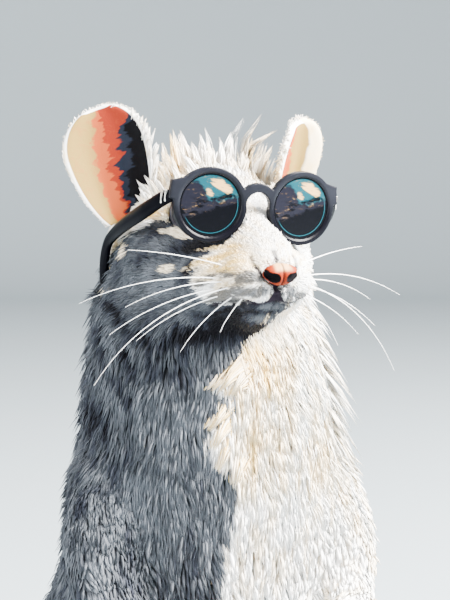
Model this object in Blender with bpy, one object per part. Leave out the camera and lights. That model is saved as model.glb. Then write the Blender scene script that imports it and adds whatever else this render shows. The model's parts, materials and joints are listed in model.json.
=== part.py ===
"""A life-size rat that sits up on its haunches and wears small round sunglasses.

Metres, +Z up. The rat faces -Y and its right side is at -X. The origin is in the flat under its rump, and
the rump, the soles and the tail rest at Z = 0. The head's own parts are written in the head's frame, which
has its origin between the eyes and its nose at -Y, and HEAD places that frame.
"""

import math
import random

import bmesh
import bpy
from mathutils import Matrix, Vector
from mathutils.bvhtree import BVHTree

MM = 0.001
GAP = 0.3 * MM
X_AXIS = Vector((1, 0, 0))
Y_AXIS = Vector((0, 1, 0))
Z_AXIS = Vector((0, 0, 1))
RIGHT, LEFT = -1, 1
SIDE_NAMES = {RIGHT: "right", LEFT: "left"}

# The head's place: the point between the eyes, and how far the nose dips
HEAD_AT = Vector((0, -22, 137)) * MM
HEAD_DIP = math.radians(5)
HEAD = Matrix.Translation(HEAD_AT) @ Matrix.Rotation(HEAD_DIP, 4, "X")

# The trunk from rump to nape, in mm: y, z, half width, half depth
TRUNK = (
    (10, -5, 12, 12),
    (10, 1, 22.5, 22),
    (9.5, 10, 29.5, 29),
    (8.5, 22, 32.5, 32),
    (6, 38, 32, 32),
    (1, 56, 28.5, 29.5),
    (-5, 74, 25, 26),
    (-10, 90, 23.8, 23.8),
    (-12, 102, 23.4, 22.6),
    (-10.5, 113, 22, 21.4),
    (-9, 124, 20, 19.6),
    (-8, 133, 17.4, 17),
    (-7.5, 141, 14, 13.5),
)
NECK_FOOT = Vector((0, -11, 105)) * MM
NECK_FOOT_UP = Vector((0, -0.2, 1)).normalized()
# The head is what lies above the throat and in front of the nape: corners of that block in mm, y and z
HEAD_BLOCK = ((-13, 121), (9, 155), (4, 175), (-62, 175), (-62, 116.5))
HEAD_BLOCK_HALF_WIDTH = 60
HEAD_PARTING = Vector((0, 0.52, -0.86)) * 1.12

# The skull with its coat, in the head's frame, in mm: y, half width, top, bottom, narrowing of the top
SKULL = (
    (-23.2, 2.4, -2.4, -6.8, 0.0),
    (-22, 4.3, -0.7, -8.6, 0.05),
    (-19, 6.2, 1.6, -10.4, 0.18),
    (-14.5, 7.6, 4.1, -11.8, 0.28),
    (-9.5, 9.2, 6.6, -13.0, 0.32),
    (-4, 11.6, 9.4, -14.0, 0.28),
    (2, 14.0, 11.6, -14.8, 0.2),
    (8, 15.8, 12.7, -15.4, 0.14),
    (14, 16.4, 12.6, -15.6, 0.08),
    (20, 15.6, 11.2, -14.6, 0.04),
    (26, 13.4, 8.0, -12.0, 0.0),
)
# Rounded forms of the head in pairs, in mm: name, centre, radii
PAIRED_FORMS = (
    ("whisker_pad", (4.2, -15.6, -5.4), (4.3, 8.4, 4.9)),
    ("lip", (2.7, -18.4, -8.0), (3.0, 5.0, 2.9)),
    ("jowl", (6.8, -6.5, -6.8), (5.6, 9.5, 6.8)),
    ("cheek", (9.8, 5.0, -6.2), (7.8, 12.5, 9.4)),
    ("brow", (8.2, -2.6, 4.9), (4.4, 5.6, 4.4)),
)
CHIN_AT, CHIN_RADII = (0, -11.8, -11.2), (4.3, 7.6, 4.0)

# Locks that stand up on the crown, in the head's frame and mm: y, half spread across, how many, length
CROWN_LOCKS = (
    (1.5, 8.0, 5, 4.4),
    (6.0, 9.5, 6, 5.8),
    (10.8, 9.2, 6, 5.8),
)
CROWN_TOP = 14
# A lock's stations: how far out as a share of its length, half width and half thickness in mm
LOCK_SHAPE = ((-0.3, 1.6, 0.6), (0.2, 1.9, 0.7), (0.65, 1.15, 0.45), (1.0, 0.12, 0.12))
LOCK_BEND = 0.55

# Nose leather, in the head's frame
NOSE_AT = Vector((0, -23.3, -4.0)) * MM
NOSE_RADII = Vector((3.1, 1.9, 2.3)) * MM
NOSE_NARROWING = 0.4
# A nostril's line in mm, from the front round to the side: x, y, z, half width, half height
NOSTRIL = (
    (1.3, -26.4, -5.0, 0.6, 0.6),
    (1.35, -25.0, -4.9, 0.7, 0.75),
    (2.1, -24.3, -4.4, 0.5, 0.55),
    (3.6, -23.8, -3.9, 0.35, 0.4),
)

# Lines carved along points near the head's surface, in its frame and mm, and the radius at each point
MOUTH = (
    (0.9, -21.8, -9.2),
    (2.2, -20.6, -10.3),
    (3.6, -18.0, -11.2),
    (4.4, -15.0, -11.6),
    (4.8, -12.0, -11.4),
)
MOUTH_RADII = (0.45, 0.6, 0.6, 0.5, 0.3)
PHILTRUM = ((0, -23.6, -6.9), (0, -22.8, -8.0), (0, -21.6, -9.5))
PHILTRUM_RADII = (0.4, 0.45, 0.5)

# Eyes, in the head's frame
EYE_AT = Vector((9.7, -3.2, 4.9)) * MM
EYE_RADIUS = 3.1 * MM
EYE_FACING = Vector((0.84, -0.44, 0.3)).normalized()
LID_RADIUS = 0.55 * MM
LID_FORWARD = 1.3 * MM
LID_CLEAR = 0.15 * MM

# Ears, in the head's frame
EAR_AT = Vector((13.6, 12.6, 1.6)) * MM
EAR_LENGTH = 20.5 * MM
EAR_HALF_WIDTH = 8.6 * MM
EAR_THICKNESS = 0.9 * MM
EAR_WIDEST = 0.57
EAR_ROWS, EAR_COLUMNS, EAR_ROWS_BELOW = 10, 8, 0.45
EAR_LEAN = 2.2 * MM
EAR_TOP = math.radians(78)
EAR_UP = Vector((0.22, 0.16, 1)).normalized()
EAR_FACING = Vector((0.5, -0.86, 0.05))
EAR_CURL_FOOT, EAR_CURL_TIP = math.radians(74), math.radians(26)

# Limbs in mm: x, y, z, half width, half depth, for the left side
ARM = (
    (18.5, -13, 94, 8, 9),
    (22, -17, 87, 7.8, 8.8),
    (23.8, -20.5, 79, 7, 7.6),
    (23.2, -24.5, 72.5, 6, 6.2),
    (20.4, -31, 69.5, 5, 5),
    (16.8, -37.5, 69.5, 4.2, 4.2),
    (13.6, -43, 70, 3.6, 3.3),
    (12, -46, 69.6, 3.4, 3.0),
)
ELBOW = Vector((23.0, -25, 72)) * MM
ELBOW_ALONG = Vector((-0.35, -0.85, -0.4)).normalized()
WRIST = Vector((13.2, -43.8, 70)) * MM
WRIST_ALONG = Vector((-0.45, -0.88, -0.1)).normalized()
THIGH = (
    (21, 14, 31, 11, 15),
    (25, 6, 32.5, 12.5, 18),
    (27.5, -4, 33.5, 12, 18.5),
    (29.2, -14, 34, 10.5, 15.5),
    (30, -22, 33, 8.4, 11),
)
SHANK = (
    (30, -22, 29, 8.2, 9.5),
    (29.6, -14, 19, 7.2, 8.5),
    (29, -6, 11, 5.8, 6.8),
    (28.2, 0, 7, 4.2, 5),
)
REGION_MARGIN = 1.7
ANKLE = Vector((28, -2.6, 0)) * MM

# Feet in mm, in a foot's own frame: toes at -Y, sole at Z = 0
FOOT_TURN = math.radians(11)
FOOT_ROWS = (
    (0, 6.5, 2.6, 3.1, 2.8),
    (0, 1, 2.9, 4.1, 3.4),
    (0, -8, 3.0, 4.0, 3.3),
    (0, -18, 2.8, 4.6, 2.9),
    (0, -24.5, 2.3, 5.3, 2.3),
    (0, -27.5, 1.9, 5.2, 1.8),
)
TOE_ROOT_Y = -25.0 * MM
TOE_RADIUS = 1.35 * MM
TOES = ((-4.3, 7.4, -17), (-2.3, 10.2, -8), (0.0, 11.0, 0), (2.3, 10.2, 8), (4.3, 7.2, 18))
CLAW_LENGTH, CLAW_RADIUS = 2.6 * MM, 0.55 * MM

# Paws in mm, in a paw's own frame: wrist at the origin, fingers at -Y, palm down
PAW_ROWS = (
    (0, -0.1, 0, 3.2, 2.8),
    (0, -3, -0.1, 3.4, 2.6),
    (0, -6.6, -0.3, 3.7, 2.2),
    (0, -8.8, -0.4, 3.4, 1.8),
)
FINGERS = ((-2.6, 5.6, -14), (-0.9, 6.9, -5), (0.9, 6.9, 5), (2.6, 5.6, 14))
FINGER_ROOT_Y = -7.6 * MM
FINGER_RADIUS = 1.05 * MM
FINGER_CURL = 0.55
PAW_DROOP = math.radians(58)
PAW_TURN = math.radians(-22)

# The tail, lying in a loose bend round the left side
TAIL_ROOT = Vector((0, 27, 11)) * MM
TAIL_LENGTH = 178 * MM
TAIL_ROOT_RADIUS, TAIL_TIP_RADIUS = 5.0 * MM, 0.9 * MM
TAIL_BEND = math.radians(168)
TAIL_BEND_AT, TAIL_BEND_OVER = 0.2, 0.8
TAIL_DROP_OVER = 32 * MM
TAIL_PIECES = 4
TAIL_SEATED = 0.93

# Sunglasses, in the head's frame
LENS_AT = Vector((8.7, -12.2, 6.2)) * MM
LENS_RADIUS = 5.5 * MM
LENS_SIDES = 22
RIM_WIDTH, RIM_SOFT = 1.15 * MM, 0.3 * MM
FRONT_DEPTH = 1.5 * MM
LENS_DEPTH = 0.8 * MM
FRONT_WRAP = 42 * MM
BRIDGE_RISE, BRIDGE_RADIUS = 3.3 * MM, 0.8 * MM
ENDPIECE_UP, ENDPIECE_OUT = 2.6 * MM, 8.0 * MM
# A temple's line in mm: x, y, z, half thickness, half height, for the left side
TEMPLE = (
    (16.6, -9.2, 8.8, 0.8, 1.35),
    (17.1, -4.0, 6.8, 0.8, 1.3),
    (17.4, 2.5, 3.6, 0.8, 1.2),
    (17.6, 9.0, 0.0, 0.8, 1.2),
    (17.8, 12.5, -2.8, 0.85, 1.3),
    (17.6, 14.6, -6.6, 0.9, 1.4),
    (17.2, 15.4, -11.0, 0.85, 1.3),
)

# How fine the flesh is: the voxel that runs its forms together, rounds of smoothing, and triangles
VOXEL = 1.0 * MM
SMOOTH_ROUNDS, BODY_SMOOTH_ROUNDS = 18, 40
FACE_FOOT = 112 * MM
HEAD_TRIANGLES, BODY_TRIANGLES = 1300, 2000

COLOURS = {
    "coat_white": ((0.86, 0.83, 0.75), 0.85),
    "coat_grey": ((0.36, 0.37, 0.40), 0.85),
    "bare_skin": ((0.80, 0.50, 0.42), 0.55),
    "nose_leather": ((0.78, 0.36, 0.28), 0.4),
    "eye_dark": ((0.02, 0.01, 0.02), 0.05),
    "frame_plastic": ((0.045, 0.045, 0.06), 0.3),
    "lens_glass": ((0.01, 0.02, 0.03), 0.05),
}


def clear_scene():
    for obj in list(bpy.data.objects):
        bpy.data.objects.remove(obj)


def material(name):
    """One Principled material for each of the colours."""
    made = bpy.data.materials.get(name)
    if made is None:
        colour, roughness = COLOURS[name]
        made = bpy.data.materials.new(name)
        made.use_nodes = True
        shader = made.node_tree.nodes["Principled BSDF"]
        shader.inputs["Base Color"].default_value = (*colour, 1)
        shader.inputs["Roughness"].default_value = roughness
        shader.inputs["Metallic"].default_value = 0
    return made


def place(name, bm):
    """A new object that holds this mesh, in the scene."""
    mesh = bpy.data.meshes.new(name)
    bm.to_mesh(mesh)
    bm.free()
    obj = bpy.data.objects.new(name, mesh)
    bpy.context.scene.collection.objects.link(obj)
    return obj


def discard(*objs):
    for obj in objs:
        bpy.data.objects.remove(obj)


def copy_of(obj, name):
    twin = obj.copy()
    twin.data = obj.data.copy()
    twin.name = name
    bpy.context.scene.collection.objects.link(twin)
    return twin


def modify(obj, kind, **settings):
    """Adds a modifier with these settings and bakes it into the mesh."""
    modifier = obj.modifiers.new(kind.title(), kind)
    for key, value in settings.items():
        setattr(modifier, key, value)
    graph = bpy.context.evaluated_depsgraph_get()
    baked = bpy.data.meshes.new_from_object(obj.evaluated_get(graph))
    obj.modifiers.clear()
    obj.data = baked
    return obj


def boolean(obj, other, operation):
    """Cuts or joins two closed bodies. Grown bodies may cross themselves, where EXACT leaves nothing."""
    return modify(obj, "BOOLEAN", operation=operation, object=other, solver="MANIFOLD")


def united(name, pieces):
    """One closed body from overlapping closed pieces, by one union over a collection."""
    first, rest = pieces[0], pieces[1:]
    group = bpy.data.collections.new(name + "_pieces")
    bpy.context.scene.collection.children.link(group)
    for piece in rest:
        group.objects.link(piece)
    modify(
        first,
        "BOOLEAN",
        operation="UNION",
        operand_type="COLLECTION",
        collection=group,
        solver="EXACT",
    )
    discard(*rest)
    bpy.data.collections.remove(group)
    first.name = name
    return keep_largest(first)


def joined(name, pieces):
    """One mesh that holds all the pieces, still overlapping."""
    bm = bmesh.new()
    for piece in pieces:
        bm.from_mesh(piece.data)
    discard(*pieces)
    return place(name, bm)


def keep_largest(obj):
    """Drops every loose shell but the one with the most faces."""
    bm = bmesh.new()
    bm.from_mesh(obj.data)
    unseen, shells = set(bm.faces), []
    while unseen:
        shell, front = set(), [unseen.pop()]
        while front:
            face = front.pop()
            shell.add(face)
            for edge in face.edges:
                for other in edge.link_faces:
                    if other in unseen:
                        unseen.discard(other)
                        front.append(other)
        shells.append(shell)
    shells.sort(key=len)
    loose = [face for shell in shells[:-1] for face in shell]
    if loose:
        bmesh.ops.delete(bm, geom=loose, context="FACES")
    bm.to_mesh(obj.data)
    bm.free()
    return obj


def sliced(obj, point, normal):
    """Cuts away what lies behind the plane and closes the cut with a flat face."""
    bm = bmesh.new()
    bm.from_mesh(obj.data)
    bmesh.ops.bisect_plane(
        bm,
        geom=bm.verts[:] + bm.edges[:] + bm.faces[:],
        dist=1e-7,
        plane_co=point,
        plane_no=normal,
        clear_inner=True,
    )
    rim = [edge for edge in bm.edges if edge.is_boundary]
    bmesh.ops.holes_fill(bm, edges=rim)
    bmesh.ops.triangulate(bm, faces=bm.faces)
    bmesh.ops.recalc_face_normals(bm, faces=bm.faces)
    bm.to_mesh(obj.data)
    bm.free()
    return keep_largest(obj)


def grown(obj, by=GAP):
    """A copy whose surface lies this far outside the object's own."""
    return modify(copy_of(obj, obj.name + "_grown"), "DISPLACE", strength=by, mid_level=0)


def cut_clear(obj, *neighbours):
    """Cuts the object back to a gap from its neighbours."""
    for neighbour in neighbours:
        cutter = grown(neighbour)
        boolean(obj, cutter, "DIFFERENCE")
        discard(cutter)
    return keep_largest(obj)


def thinned(obj, triangles):
    """The same form with about this many triangles."""
    count = sum(len(face.vertices) - 2 for face in obj.data.polygons)
    return modify(obj, "DECIMATE", ratio=min(1, triangles / count))


def between(p, q, r, s, t):
    """The value a share t of the way from q to r on a smooth curve through p, q, r and s."""
    bend = 2 * p - 5 * q + 4 * r - s
    twist = 3 * q - p - 3 * r + s
    return (2 * q + (r - p) * t + bend * t * t + twist * t**3) / 2


def spline(rows, steps):
    """The rows with smooth rows between them, on a Catmull-Rom curve."""
    padded = [rows[0], *rows, rows[-1]]
    out = []
    for stretch in zip(padded, padded[1:], padded[2:], padded[3:]):
        for step in range(steps):
            out.append([between(*values, step / steps) for values in zip(*stretch)])
    return [*out, list(rows[-1])]


def skin(name, rings):
    """A closed mesh over rings of points, with a flat face at each end."""
    bm = bmesh.new()
    rows = [[bm.verts.new(point) for point in ring] for ring in rings]
    for low, high in zip(rows, rows[1:]):
        for k in range(len(low)):
            after = (k + 1) % len(low)
            bm.faces.new((low[k], low[after], high[after], high[k]))
    bm.faces.new(rows[0][::-1])
    bm.faces.new(rows[-1])
    bmesh.ops.recalc_face_normals(bm, faces=bm.faces)
    return place(name, bm)


def boxed_cosine(angle, power):
    """A cosine whose ring turns from an ellipse at power 1 towards a rounded box below 1."""
    value = math.cos(angle)
    return math.copysign(abs(value) ** power, value)


def ring_points(centre, across, upward, sides, power=1.0):
    """Points round an ellipse whose half axes are the two vectors."""
    points = []
    for k in range(sides):
        angle = 2 * math.pi * k / sides
        turned_back = angle - math.pi / 2
        outward = across * boxed_cosine(angle, power) + upward * boxed_cosine(turned_back, power)
        points.append(centre + outward)
    return points


def beyond(station, degrees):
    """A station past a tube's end, on the rounding that closes it."""
    centre, half_width, half_height, along = station
    rise = min(half_width, half_height) * math.sin(math.radians(degrees))
    narrow = math.cos(math.radians(degrees))
    return centre + along * rise, half_width * narrow, half_height * narrow, along


def tube(name, rows, sides=16, steps=3, hint=X_AXIS, rounding=(35, 65, 84), power=1.0):
    """A body along rows of x, y, z, half width and half height, in mm, with its width along the hint.

    The rounding's angles, in degrees, each add one ring to both ends.
    """
    rows = [[value * MM for value in row] for row in spline(rows, steps)]
    stations = []
    for before, row, after in zip([rows[0], *rows], rows, [*rows[1:], rows[-1]]):
        along = (Vector(after[:3]) - Vector(before[:3])).normalized()
        stations.append((Vector(row[:3]), row[3], row[4], along))
    first, last = stations[0], stations[-1]
    for degrees in rounding:
        stations.insert(0, beyond(first, -degrees))
        stations.append(beyond(last, degrees))
    rings = []
    for centre, half_width, half_height, along in stations:
        across = (hint - along * hint.dot(along)).normalized()
        upward = along.cross(across)
        rings.append(ring_points(centre, across * half_width, upward * half_height, sides, power))
    return skin(name, rings)


def turned(name, section, sides, matrix):
    """A closed ring: a section of radius and height pairs turned round the Z axis and then placed."""
    bm = bmesh.new()
    rings = []
    for k in range(sides):
        angle = 2 * math.pi * k / sides
        ring = []
        for radius, height in section:
            point = Vector((radius * math.cos(angle), radius * math.sin(angle), height))
            ring.append(bm.verts.new(matrix @ point))
        rings.append(ring)
    for ring, after in zip(rings, [*rings[1:], rings[0]]):
        for k in range(len(section)):
            upper = (k + 1) % len(section)
            bm.faces.new((ring[k], after[k], after[upper], ring[upper]))
    bmesh.ops.recalc_face_normals(bm, faces=bm.faces)
    return place(name, bm)


def ball(name, centre, radii, facing=None, sides=16):
    """An ellipsoid, with its own Z axis turned towards a direction."""
    turn = Matrix.Identity(4) if facing is None else facing.to_track_quat("Z", "Y").to_matrix().to_4x4()
    size = Matrix.Diagonal((*radii, 1))
    bm = bmesh.new()
    bmesh.ops.create_uvsphere(
        bm,
        u_segments=sides,
        v_segments=sides * 5 // 8,
        radius=1,
        matrix=Matrix.Translation(centre) @ turn @ size,
    )
    return place(name, bm)


def mirrored(vector, side):
    return Vector((vector[0] * side, *vector[1:]))


def mirrored_rows(rows, side):
    return [(row[0] * side, *row[1:]) for row in rows]


def moved(obj, matrix):
    obj.data.transform(matrix)
    return obj


# The flesh


def trunk():
    rows = [(0, *row) for row in TRUNK]
    return tube("trunk", rows, sides=32, rounding=())


def skull():
    rings = []
    for y, half_width, top, bottom, narrow in spline(SKULL, 3):
        middle, half_height = (top + bottom) / 2, (top - bottom) / 2
        ring = []
        for step in range(28):
            angle = 2 * math.pi * step / 28
            rise = math.sin(angle)
            width = half_width * (1 - narrow * max(0.0, rise) ** 0.8)
            ring.append(Vector((width * math.cos(angle), y, middle + half_height * rise)) * MM)
        rings.append(ring)
    return skin("skull", rings)


def head_forms():
    forms = [skull(), ball("chin", Vector(CHIN_AT) * MM, Vector(CHIN_RADII) * MM)]
    for name, centre, radii in PAIRED_FORMS:
        for side in (RIGHT, LEFT):
            forms.append(ball(name, mirrored(Vector(centre) * MM, side), Vector(radii) * MM))
    return [moved(form, HEAD) for form in forms]


def flesh():
    """Trunk, limbs and head run together into one smooth body, smoother below the face."""
    forms = [trunk(), *head_forms()]
    for side in (RIGHT, LEFT):
        forms += [tube("limb", mirrored_rows(rows, side), sides=20) for rows in (ARM, THIGH, SHANK)]
    body = joined("flesh", forms)
    modify(body, "REMESH", mode="VOXEL", voxel_size=VOXEL)
    modify(body, "SMOOTH", factor=0.5, iterations=SMOOTH_ROUNDS)
    below = body.vertex_groups.new(name="below_face")
    below.add([v.index for v in body.data.vertices if v.co.z < FACE_FOOT], 1, "REPLACE")
    return modify(body, "SMOOTH", factor=0.5, iterations=BODY_SMOOTH_ROUNDS, vertex_group="below_face")


def head_block(lowered=0.0):
    """A block round the head whose two inner faces part it from the neck, moved this far towards the neck."""
    shift = HEAD_PARTING * lowered
    rings = []
    for x in (-HEAD_BLOCK_HALF_WIDTH, HEAD_BLOCK_HALF_WIDTH):
        rings.append([Vector((x, y, z)) * MM + shift for y, z in HEAD_BLOCK])
    return skin("head_block", rings)


def part_head(body):
    """The head, thinned less than the body and cut off at the nape and the throat."""
    head = copy_of(body, "head")
    rough, block = head_block(4 * MM), head_block()
    boolean(head, rough, "INTERSECT")
    thinned(head, HEAD_TRIANGLES)
    boolean(head, block, "INTERSECT")
    discard(rough, block)
    return keep_largest(head)


def part_trunk(body):
    """The flesh below the head, standing flat on the floor, parted into neck and torso."""
    thinned(body, BODY_TRIANGLES)
    block = head_block(GAP)
    boolean(body, block, "DIFFERENCE")
    discard(block)
    sliced(body, Vector((0, 0, 0)), Z_AXIS)
    neck = copy_of(body, "neck")
    sliced(neck, NECK_FOOT + NECK_FOOT_UP * (GAP / 2), NECK_FOOT_UP)
    sliced(body, NECK_FOOT - NECK_FOOT_UP * (GAP / 2), -NECK_FOOT_UP)
    body.name = "torso"
    return neck, body


def limb_region(rows, side):
    """The space round a limb's own form that goes with the limb."""
    wider = [(*row[:3], row[3] + REGION_MARGIN, row[4] + REGION_MARGIN) for row in rows]
    return tube("region", mirrored_rows(wider, side), sides=14, steps=1, rounding=(40, 75))


def part_limb(torso, forms, side, name):
    """Takes a limb out of the torso, along the limb's own line."""
    regions = [limb_region(rows, side) for rows in forms]
    region = regions[0] if len(regions) == 1 else united("region", regions)
    piece = copy_of(torso, name)
    boolean(piece, region, "INTERSECT")
    wider = grown(region)
    boolean(torso, wider, "DIFFERENCE")
    discard(region, wider)
    keep_largest(torso)
    return keep_largest(piece)


# Feet, paws and tail


def digit(name, root, length, radius, spread, curl):
    """A toe or finger with its claw, growing along -Y and turned sideways by the spread."""
    turn = Matrix.Rotation(spread, 3, "Z")
    rows = []
    for share, thick, rise in ((-0.2, 0.95, 0), (0.25, 1, 0.5), (0.6, 0.86, 0.35), (0.95, 0.84, -0.1)):
        drop = curl * length * share * share
        point = root + turn @ Vector((0, -length * share, rise * radius * 0.6 - drop))
        rows.append((*(point / MM), radius * thick / MM, radius * thick / MM))
    flesh_part = tube(name, rows, sides=6, steps=1, rounding=(50,))
    tip = Vector(rows[-1][:3]) * MM
    slope = (tip - Vector(rows[-2][:3]) * MM).normalized()
    claw = []
    for share, thick in ((-0.25, 0.8), (0.35, 1.0), (0.75, 0.6), (1.05, 0.2)):
        point = tip + slope * (CLAW_LENGTH * share) - Z_AXIS * (CLAW_LENGTH * 0.3 * max(0, share) ** 2)
        claw.append((*(point / MM), CLAW_RADIUS * thick / MM, CLAW_RADIUS * thick / MM))
    return [flesh_part, tube(name + "_claw", claw, sides=5, steps=1, rounding=())]


def hind_foot(side):
    pieces = [tube("sole", FOOT_ROWS, sides=12, steps=1, rounding=(45, 78))]
    for x, length, spread in TOES:
        root = Vector((x * MM, TOE_ROOT_Y, TOE_RADIUS * 0.9))
        pieces += digit("toe", root, length * MM, TOE_RADIUS, math.radians(spread), 0.0)
    foot = united("hind_foot_" + SIDE_NAMES[side], pieces)
    moved(foot, Matrix.Translation(mirrored(ANKLE, side)) @ Matrix.Rotation(FOOT_TURN * side, 4, "Z"))
    return sliced(foot, Vector((0, 0, 0)), Z_AXIS)


def forepaw(side):
    pieces = [tube("palm", PAW_ROWS, sides=12, steps=1, rounding=(45, 78))]
    for x, length, spread in FINGERS:
        root = Vector((x * MM, FINGER_ROOT_Y, 0))
        pieces += digit("finger", root, length * MM, FINGER_RADIUS, math.radians(spread), FINGER_CURL)
    paw = united("forepaw_" + SIDE_NAMES[side], pieces)
    turn = Matrix.Rotation(PAW_TURN * side, 4, "Z") @ Matrix.Rotation(PAW_DROOP, 4, "X")
    moved(paw, Matrix.Translation(mirrored(WRIST, side)) @ turn)
    return sliced(paw, mirrored(WRIST + WRIST_ALONG * (GAP / 2), side), mirrored(WRIST_ALONG, side))


def tail_rows():
    """The tail's centre line and radius, in mm, each row a step along its length."""
    steps = 40
    point, rows = TAIL_ROOT.copy(), []
    for k in range(steps + 1):
        share = k / steps
        radius = TAIL_ROOT_RADIUS + (TAIL_TIP_RADIUS - TAIL_ROOT_RADIUS) * share**0.8
        bent = min(1, max(0, (share - TAIL_BEND_AT) / TAIL_BEND_OVER))
        heading = math.pi / 2 - TAIL_BEND * bent * bent * (3 - 2 * bent)
        fallen = min(1, share * TAIL_LENGTH / TAIL_DROP_OVER)
        seated = radius * TAIL_SEATED
        point.z = TAIL_ROOT.z + (seated - TAIL_ROOT.z) * fallen * fallen * (3 - 2 * fallen)
        rows.append((*(point / MM), radius / MM, radius / MM))
        step = TAIL_LENGTH / steps
        point += Vector((math.cos(heading), math.sin(heading), 0)) * step
    return rows


def tail_pieces(torso):
    rows = tail_rows()
    each = (len(rows) - 1) // TAIL_PIECES
    pieces = []
    for k in range(TAIL_PIECES):
        part = rows[k * each : (k + 1) * each + 1]
        last = k == TAIL_PIECES - 1
        piece = tube(f"tail_{k + 1}", part, sides=10, steps=1, hint=Z_AXIS, rounding=())
        if last:
            piece = united(
                piece.name,
                [piece, ball("tip", Vector(rows[-1][:3]) * MM, (TAIL_TIP_RADIUS,) * 3, sides=8)],
            )
        if k:
            start, after = Vector(part[0][:3]) * MM, Vector(part[1][:3]) * MM
            along = (after - start).normalized()
            sliced(piece, start + along * GAP, along)
        sliced(piece, Vector((0, 0, 0)), Z_AXIS)
        pieces.append(piece)
    cut_clear(pieces[0], torso)
    return pieces


# The head's details


def ear_outline(share):
    """The height of a row of the ear, as a share of its length, and the ear's half width there."""
    if share < EAR_ROWS_BELOW:
        height = EAR_WIDEST * share / EAR_ROWS_BELOW
        return height, EAR_HALF_WIDTH * math.sqrt(1 - ((EAR_WIDEST - height) / (EAR_WIDEST * 1.25)) ** 2)
    angle = (share - EAR_ROWS_BELOW) / (1 - EAR_ROWS_BELOW) * EAR_TOP
    return EAR_WIDEST + (1 - EAR_WIDEST) * math.sin(angle), EAR_HALF_WIDTH * math.cos(angle) ** 0.9


def facing_out(obj):
    bm = bmesh.new()
    bm.from_mesh(obj.data)
    bmesh.ops.recalc_face_normals(bm, faces=bm.faces)
    bm.to_mesh(obj.data)
    bm.free()
    return obj


def ear(side):
    """A thin rounded cup, open to the front and the side."""
    facing = EAR_FACING - EAR_UP * EAR_FACING.dot(EAR_UP)
    facing.normalize()
    wide = EAR_UP.cross(facing)
    bm = bmesh.new()
    grid = []
    for row in range(EAR_ROWS + 1):
        height, half = ear_outline(row / EAR_ROWS)
        curl = EAR_CURL_FOOT + (EAR_CURL_TIP - EAR_CURL_FOOT) * height**0.6
        radius = half / curl
        middle = EAR_AT + EAR_UP * (EAR_LENGTH * height) - facing * (EAR_LEAN * height * height)
        line = []
        for column in range(EAR_COLUMNS + 1):
            angle = curl * (2 * column / EAR_COLUMNS - 1)
            bend = wide * (radius * math.sin(angle)) + facing * (radius * (1 - math.cos(angle)))
            line.append(bm.verts.new(mirrored(middle + bend, side)))
        grid.append(line)
    for low, high in zip(grid, grid[1:]):
        for k in range(EAR_COLUMNS):
            bm.faces.new((low[k], low[k + 1], high[k + 1], high[k]))
    bmesh.ops.triangulate(bm, faces=bm.faces)
    cup = place("ear_" + SIDE_NAMES[side], bm)
    modify(cup, "SOLIDIFY", thickness=EAR_THICKNESS, offset=0, use_even_offset=True)
    return moved(facing_out(cup), HEAD)


def eye(side):
    centre = HEAD @ mirrored(EYE_AT, side)
    return ball("eye_" + SIDE_NAMES[side], centre, (EYE_RADIUS,) * 3, sides=12)


def lid_ring(side):
    """The rim of the lids, a ring round the eye's front."""
    turn = mirrored(EYE_FACING, side).to_track_quat("Z", "Y").to_matrix().to_4x4()
    radius = math.sqrt(EYE_RADIUS**2 - LID_FORWARD**2) + LID_CLEAR
    section = []
    for k in range(5):
        angle = 2 * math.pi * k / 5
        section.append((radius + LID_RADIUS * math.cos(angle), LID_FORWARD + LID_RADIUS * math.sin(angle)))
    return turned("lid", section, 14, HEAD @ Matrix.Translation(mirrored(EYE_AT, side)) @ turn)


def nose():
    """The bare leather of the nose, narrower at its foot, with a nostril on each side."""
    leather = ball("nose", NOSE_AT, NOSE_RADII, sides=14)
    for vertex in leather.data.vertices:
        below = max(0, (NOSE_AT.z - vertex.co.z) / NOSE_RADII.z)
        vertex.co.x *= 1 - NOSE_NARROWING * below
    for side in (RIGHT, LEFT):
        nostril = tube("nostril", mirrored_rows(NOSTRIL, side), sides=7, steps=1, rounding=(50,))
        boolean(leather, nostril, "DIFFERENCE")
        discard(nostril)
    return moved(keep_largest(leather), HEAD)


def groove(head, points, radii):
    """A shallow line carved into the head along points that are first set on its surface."""
    bm = bmesh.new()
    bm.from_mesh(head.data)
    tree = BVHTree.FromBMesh(bm)
    bm.free()
    rows = []
    for point, radius in zip(points, radii):
        found = tree.find_nearest(HEAD @ (Vector(point) * MM))[0]
        rows.append((*(found / MM), radius, radius))
    cutter = tube("groove", rows, sides=6, steps=1, rounding=(60,))
    boolean(head, cutter, "DIFFERENCE")
    discard(cutter)


def lock(root, along, back, length):
    """A flat tapered lock of fur that grows from its root and bends back."""
    rows = []
    for share, half_width, half_thick in LOCK_SHAPE:
        point = root + along * (length * share) + back * (length * LOCK_BEND * share * abs(share))
        rows.append((*point, half_width, half_thick))
    return moved(tube("lock", rows, sides=5, steps=1, hint=along.cross(back), rounding=()), HEAD)


def crown_locks(head):
    """The tuft between the ears, rooted in the head's own surface."""
    draw = random.Random(5)
    bm = bmesh.new()
    bm.from_mesh(head.data)
    tree = BVHTree.FromBMesh(bm)
    bm.free()
    to_head = HEAD.inverted()
    locks = []
    for y, spread, count, length in CROWN_LOCKS:
        for k in range(count):
            x = spread * (2 * k / (count - 1) - 1) + draw.uniform(-0.7, 0.7)
            seat = tree.find_nearest(HEAD @ (Vector((x, y + draw.uniform(-0.8, 0.8), CROWN_TOP)) * MM))[0]
            root = (to_head @ seat) / MM
            sideways = root.x * 0.04 + draw.uniform(-0.15, 0.15)
            along = Vector((sideways, draw.uniform(0.1, 0.4), 1)).normalized()
            back = Vector((root.x * 0.06 + draw.uniform(-0.4, 0.4), 1, 0)).normalized()
            locks.append(lock(root, along, back, length * draw.uniform(0.8, 1.15)))
    return locks


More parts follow.
